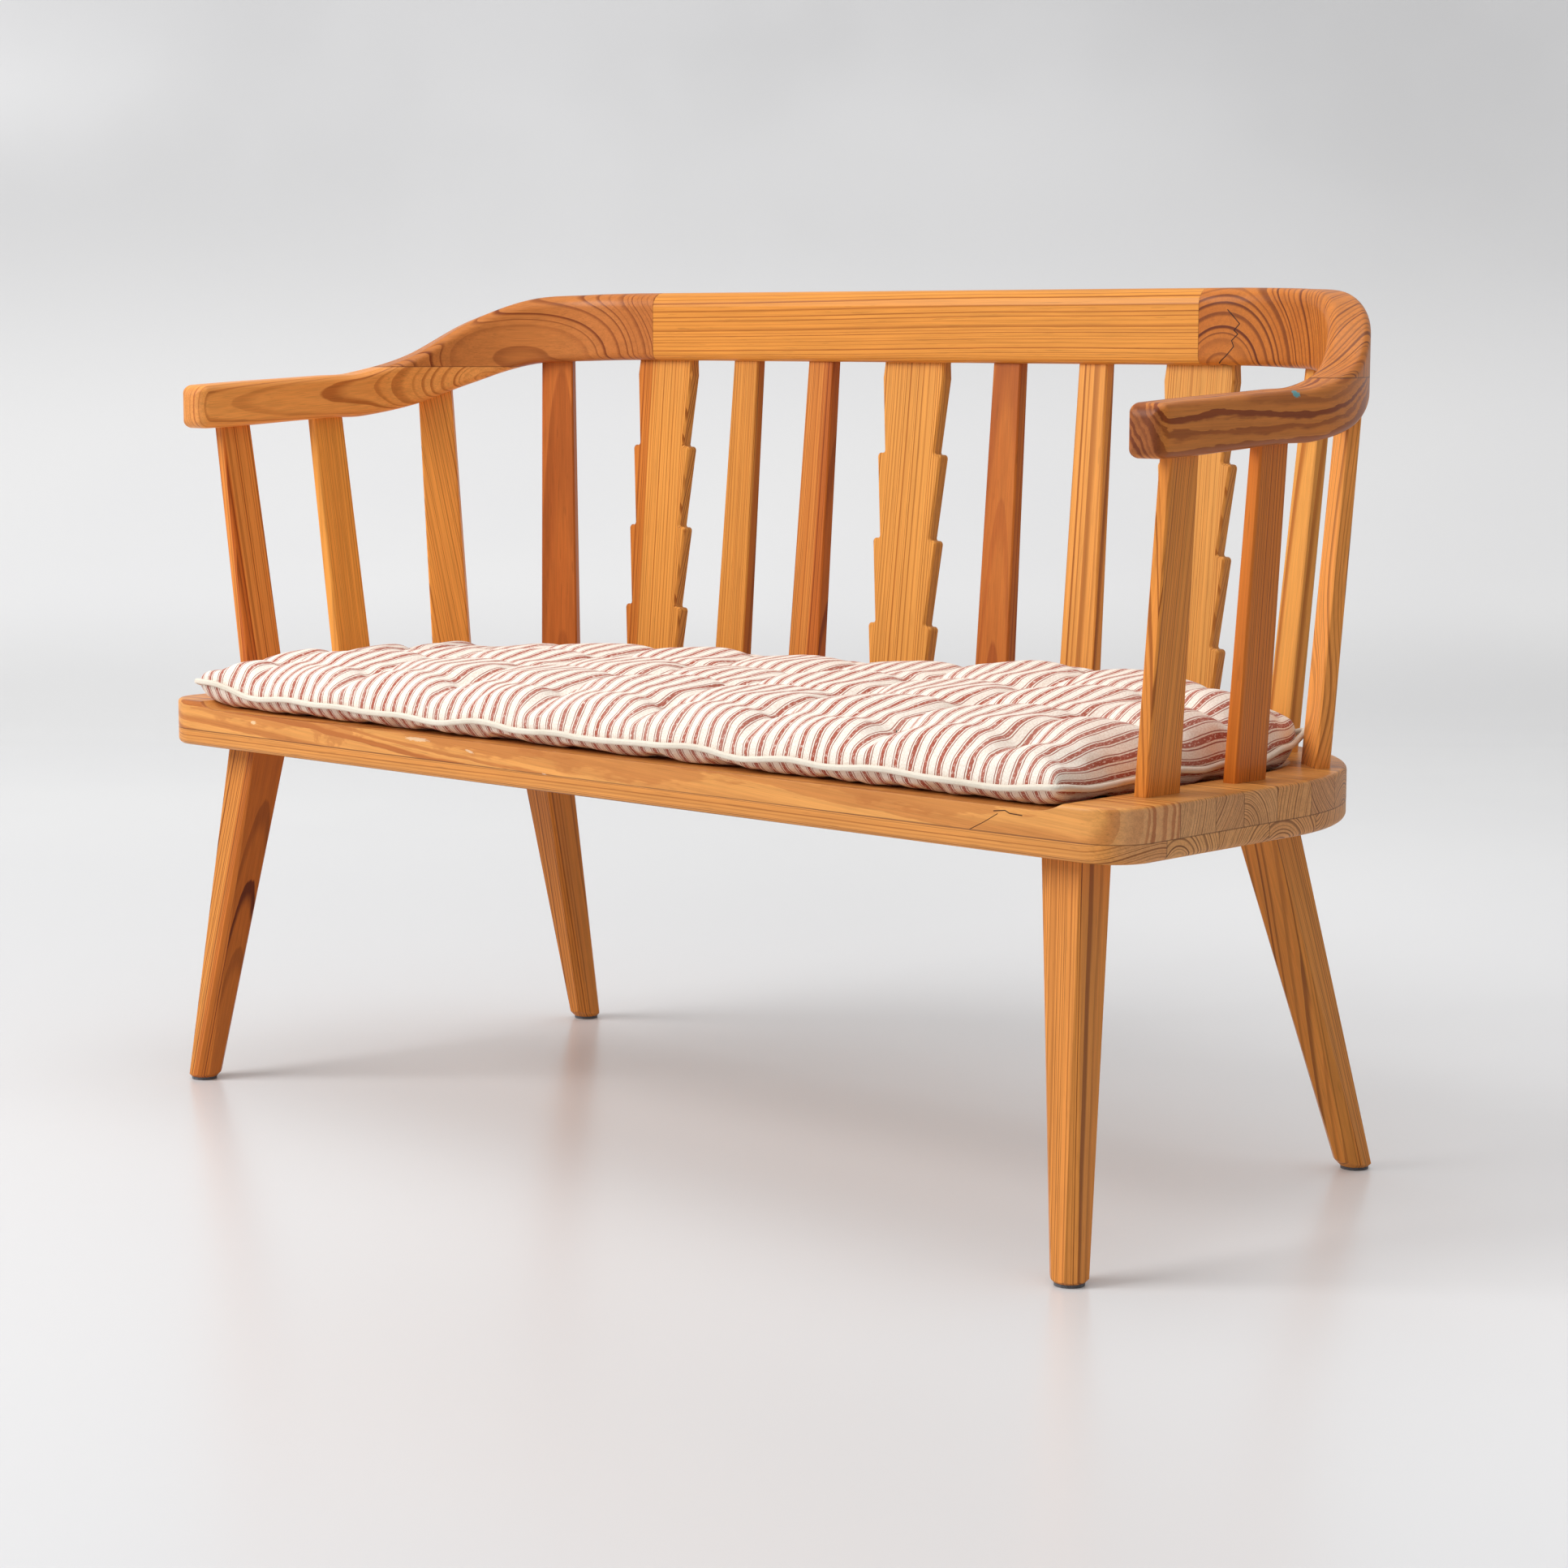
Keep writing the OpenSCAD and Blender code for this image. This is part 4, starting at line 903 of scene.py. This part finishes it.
pad, edge_ids, tuft_ids, lying_ids = build_pad()
settle(pad, sorted(set(edge_ids + tuft_ids + lying_ids)))
edge_line = points_of(pad.data)[edge_ids]
tuft_places = points_of(pad.data)[tuft_ids]
subdivide(pad)
pad.data.materials.append(build_ticking())
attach(pad, "cushion")
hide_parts("seat_cushion")


# --- Piping ---
# A cord covered with a bias strip of plain cream cotton, sewn between the two panels all round.
# Its ends are tucked in at the back right corner, where it makes a little ear.

cord_thickness, cord_out, ear_out, ear_reach = 0.0058, 0.0022, 0.006, 0.009


def build_piping_tree(finish):
    tree, inside = new_group("piping_round_seam", "GeometryNodeTree", {
        "Geometry": "Geometry", "Diameter": "Float", "Waver": "Float", "Stations": "Int",
        "Sides": "Int"}, {"Geometry": "Geometry"})

    def keep(curve, name, measure):
        """The curve with a measure along it stored for the material."""
        value = tree.get("GeometryNodeSplineParameter", measure)
        return tree.get("GeometryNodeStoreNamedAttribute", data_type="FLOAT", domain="POINT",
                        Name=name, Geometry=curve, Value=value)

    even = tree.get("GeometryNodeResampleCurve", Curve=inside["Geometry"], Count=inside["Stations"])
    waver = tree.get("ShaderNodeTexNoise", "Color", Scale=45.0) - (0.5, 0.5, 0.5)
    seam = tree.get("GeometryNodeSetPosition", Geometry=even, Offset=waver.scaled(inside["Waver"]))
    ring = tree.get("GeometryNodeCurvePrimitiveCircle", mode="RADIUS", Resolution=inside["Sides"],
                    Radius=inside["Diameter"] * 0.5)
    tube = tree.get("GeometryNodeCurveToMesh", Curve=keep(seam, "along", "Length"),
                    Profile_Curve=keep(ring, "round", "Factor"))
    return finished(tree, tube, finish)


def finished(tree, geometry, finish):
    """Ends a geometry tree: what it made as one plain mesh with its material."""
    real = tree.get("GeometryNodeRealizeInstances", Geometry=geometry)
    tree.add("NodeGroupOutput",
             Geometry=tree.get("GeometryNodeSetMaterial", Geometry=real, Material=finish))
    return tree.tree


def grow(name, start, node_group, result_name, **values):
    """A plain mesh object of what a geometry tree makes of start, a curve or a mesh."""
    seed = put(name, start)
    maker = seed.modifiers.new(name, "NODES")
    maker.node_group = node_group
    identifiers = {s.name.replace(" ", "_"): s.identifier
                   for s in node_group.interface.items_tree if s.in_out == "INPUT"}
    for label, value in values.items():
        maker[identifiers[label]] = value
    made = bpy.data.meshes.new_from_object(evaluated(seed))
    bpy.data.objects.remove(seed)
    smooth(made)
    return put(result_name, made)


def build_piping_cotton():
    made, tree, shader, place = new_material("piping_cotton")
    along = tree.get("ShaderNodeAttribute", "Fac", attribute_name="along")
    around = tree.get("ShaderNodeAttribute", "Fac", attribute_name="round")
    twill = ((around * 3.0 + along * 420.0) * (2 * math.pi)).maths("SINE")
    cloud = tree.noise(place, (320.0, 320.0, 320.0), 3.0, 0.6)
    soil = tree.noise(place, (14.0, 14.0, 14.0)).between(0.45, 0.7, 0.0, 0.35)
    colour = tree.blend(cloud, paint(222, 210, 192), paint(240, 231, 216))
    tree.set(shader, Base_Color=tree.blend(soil, colour, paint(206, 192, 170)),
             Roughness=cloud.between(0.3, 0.7, 0.80, 0.94),
             Normal=tree.get("ShaderNodeBump", Strength=0.6, Distance=0.0005,
                             Height=twill * 0.25 + cloud),
             Sheen_Weight=0.2, Specular_IOR_Level=0.25)
    return made


def piping_line():
    """The seam's own line, moved out so that the cord lies against it, with the ear's point."""
    line = edge_line.copy()
    for _ in range(2):
        line = (np.roll(line, 1, 0) + 2 * line + np.roll(line, -1, 0)) / 4
    ahead = np.roll(line, -1, 0) - np.roll(line, 1, 0)
    out = np.stack((ahead[:, 1], -ahead[:, 0]), -1)
    out /= np.linalg.norm(out, axis=1, keepdims=True)
    line[:, :2] += out * cord_out
    ear = np.linalg.norm(line[:, :2] - line[np.argmax(line[:, 0] + line[:, 1]), :2], axis=1)
    push = ear_out * np.exp(-(ear / ear_reach) ** 2)
    line[:, :2] += push[:, None] * np.array((0.75, 0.66))
    line[:, 2] += push * 0.5
    return line


piping_points = piping_line()
path = bpy.data.curves.new("piping_path", "CURVE")
path.dimensions = "3D"
spline = path.splines.new("POLY")
spline.points.add(len(piping_points) - 1)
spline.points.foreach_set("co", np.insert(piping_points, 3, 1, axis=1).ravel())
spline.use_cyclic_u = True
piping = grow("piping_path", path, build_piping_tree(build_piping_cotton()), "cushion_cord",
              Diameter=cord_thickness, Waver=0.0012, Stations=900, Sides=14)
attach(piping, "cushion")
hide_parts("cushion_piping")


# --- Tuft threads ---
# Each tuft is a doubled cotton thread pulled through the pad and knotted on top: a little knot
# with two short ends, lost in its dimple. A few threads are darker than the rest.

def build_thread_tree(finish):
    tree, inside = new_group("tuft_threads", "GeometryNodeTree", {
        "Geometry": "Geometry", "Thread diameter": "Float", "End length": "Float",
        "Seed": "Int"}, {"Geometry": "Geometry"})
    diameter = inside["Thread diameter"]

    def point(*shares):
        x, y, z = (inside["End length"] * share for share in shares)
        return tree.get("ShaderNodeCombineXYZ", X=x, Y=y, Z=z)

    strand = tree.get(
        "GeometryNodeCurvePrimitiveBezierSegment", mode="POSITION", Resolution=10,
        Start=point(-1.0, 0.2, 0.9), Start_Handle=point(-0.5, 0.5, -0.3),
        End_Handle=point(0.5, -0.6, -0.3), End=point(0.9, 0.1, 1.1))
    ring = tree.get("GeometryNodeCurvePrimitiveCircle", mode="RADIUS", Resolution=6,
                    Radius=diameter * 0.5)
    tube = tree.get("GeometryNodeCurveToMesh", Curve=strand, Profile_Curve=ring, Fill_Caps=True)
    knot = tree.get("GeometryNodeMeshIcoSphere", Subdivisions=2, Radius=diameter * 1.1)
    tied = tree.add("GeometryNodeJoinGeometry", Geometry=tube)
    tree.feed(tied.inputs[0], knot)
    turn = tree.add("FunctionNodeRandomValue", data_type="FLOAT_VECTOR", Seed=inside["Seed"])
    tree.feed_all(turn, ((-0.4, -0.4, 0.0), (0.4, 0.4, 6.28)))
    size = tree.add("FunctionNodeRandomValue", data_type="FLOAT", Seed=inside["Seed"])
    size.inputs[2].default_value, size.inputs[3].default_value = 0.7, 1.15
    spread = tree.get(
        "GeometryNodeInstanceOnPoints", Points=inside["Geometry"], Instance=tied.outputs[0],
        Rotation=tree.get("FunctionNodeEulerToRotation", Euler=turn.outputs[0]),
        Scale=size.outputs[1])
    return finished(tree, spread, finish)


def build_thread_cotton():
    made, tree, shader, place = new_material("tuft_thread")
    dark = tree.noise(place, (7.0, 7.0, 1.0), 1.0).between(0.56, 0.60)
    fine = tree.noise(place, (2600.0, 2600.0, 2600.0), 1.0)
    colour = tree.blend(dark, paint(222, 206, 184), paint(64, 66, 58))
    tree.set(shader, Roughness=fine.between(0.2, 0.8, 0.75, 0.92), Base_Color=tree.blend(
        fine.between(0.35, 0.65, 0.0, 0.35), colour, paint(140, 120, 100)))
    return made


above_cloth = np.array((0, 0, 0.0012))
tuft_points = bpy.data.meshes.new("tuft_points")
tuft_points.from_pydata((tuft_places + above_cloth).tolist(), [], [])
threads = grow("tuft_points", tuft_points, build_thread_tree(build_thread_cotton()),
               "tuft_threads", Thread_diameter=0.0011, End_length=0.0042, Seed=7)
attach(threads, "cushion")


# --- Floor, backdrop, light and camera ---
# A plain pale sweep of painted board, a broad soft lamp high on the left, a weaker one overhead and
# even room light. The sweep carries painted light and shade: it glows for the camera, and its
# colour is darker high up the wall.

def build_sweep():
    made, tree, shader, place = new_material("pale_sweep")
    height = place.parts()[2]
    far = place.dot((-0.682, 0.732, 0.0)).between(0.6, 2.8)
    high = height.between(0.2, 1.6)
    right = place.dot((0.732, 0.682, 0.0)).between(0.0, 0.9)
    cloud = tree.noise(place, (1.1, 1.1, 1.1), 3.0).between(0.35, 0.65, 0.0, 0.5)
    # Painted shade: the sweep's colour is darker high up the wall and a little lighter far back
    # than near the camera, with slow random clouds over it
    base = tree.blend(far, paint(223, 223, 224), paint(229, 229, 229))
    base = tree.blend(high, base, paint(209, 209, 210))
    base = tree.blend(cloud, base, paint(224, 224, 225))

    # Painted light: for camera and glossy rays the sweep glows. The glow is stronger far back, in a
    # belt low on the wall, and on the floor to the right, where it paints away part of the settee's
    # shadow. Other rays don't see the glow, so it sheds no light
    rays = tree.add("ShaderNodeLightPath")
    seen = Signal(tree, rays.outputs["Is Camera Ray"])
    for kind in ("Glossy", "Transmission"):
        seen = seen.maths("MAXIMUM", rays.outputs[f"Is {kind} Ray"])
    painted_belt_glow = height.between(0.0, 0.25) * height.between(0.5, 1.2, 0.15, 0.0)
    back = far * (high * 0.05 + 0.13) + painted_belt_glow
    # Painted light on the floor to the right, where the settee's shadow falls, fading further back
    painted_floor_light = right * (far * -0.18 + 0.18)
    tree.set(shader, Base_Color=base, Emission_Color=base, Emission_Strength=seen * (back + painted_floor_light),
             Roughness=0.27, Specular_IOR_Level=0.45)
    return made


half_width, floor_front, floor_back, cove, wall_top = 9.0, -6.0, 3.2, 1.6, 7.0
profile = [(floor_front, 0.0), (floor_back, 0.0)]
for degrees in range(6, 91, 6):
    turn = math.radians(degrees)
    profile.append((floor_back + cove * math.sin(turn), cove - cove * math.cos(turn)))
profile.append((floor_back + cove, wall_top))
facing_camera = Matrix.Rotation(0.75, 3, "Z")
shape = bmesh.new()
left, right = ([shape.verts.new(facing_camera @ Vector((x, y, z))) for y, z in profile]
               for x in (-half_width, half_width))
for k in range(len(profile) - 1):
    shape.faces.new((left[k], right[k], right[k + 1], left[k + 1]))
floor_sweep = put("floor_sweep", mesh_from(shape, "floor_sweep"))
floor_sweep.data.materials.append(build_sweep())


def softbox(name, place, side, power):
    lamp = bpy.data.lights.new(name, "AREA")
    lamp.size, lamp.energy = side, power
    made = put(name, lamp)
    made.location = place
    aim = Vector((0, 0, 0.4)) - Vector(place)
    made.rotation_euler = aim.to_track_quat("-Z", "Y").to_euler()


softbox("key_softbox", (-2.2, -3.6, 3.2), 2.8, 205)
softbox("top_softbox", (0.2, 0.2, 3.8), 3.0, 52)

world = bpy.data.worlds.new("studio_room")
bpy.context.scene.world = world
world.use_nodes = True
room_light = world.node_tree.nodes["Background"].inputs
room_light["Color"].default_value = (1, 1, 1, 1)
room_light["Strength"].default_value = 0.42

view = bpy.data.cameras.new("photo_camera")
view.sensor_width, view.lens, view.clip_end = 36.0, 79.03, 60
camera = put("photo_camera", view)
camera.location = (2.30199, -2.43971, 0.78042)
heading, tip_down, roll = 0.7517, 0.1300, 0.0017
camera.rotation_euler = (
    Matrix.Rotation(heading, 3, "Z") @ Matrix.Rotation(math.pi / 2 - tip_down, 3, "X")
    @ Matrix.Rotation(roll, 3, "Z")).to_euler()
bpy.context.scene.camera = camera
bpy.context.scene.view_settings.view_transform = "Standard"
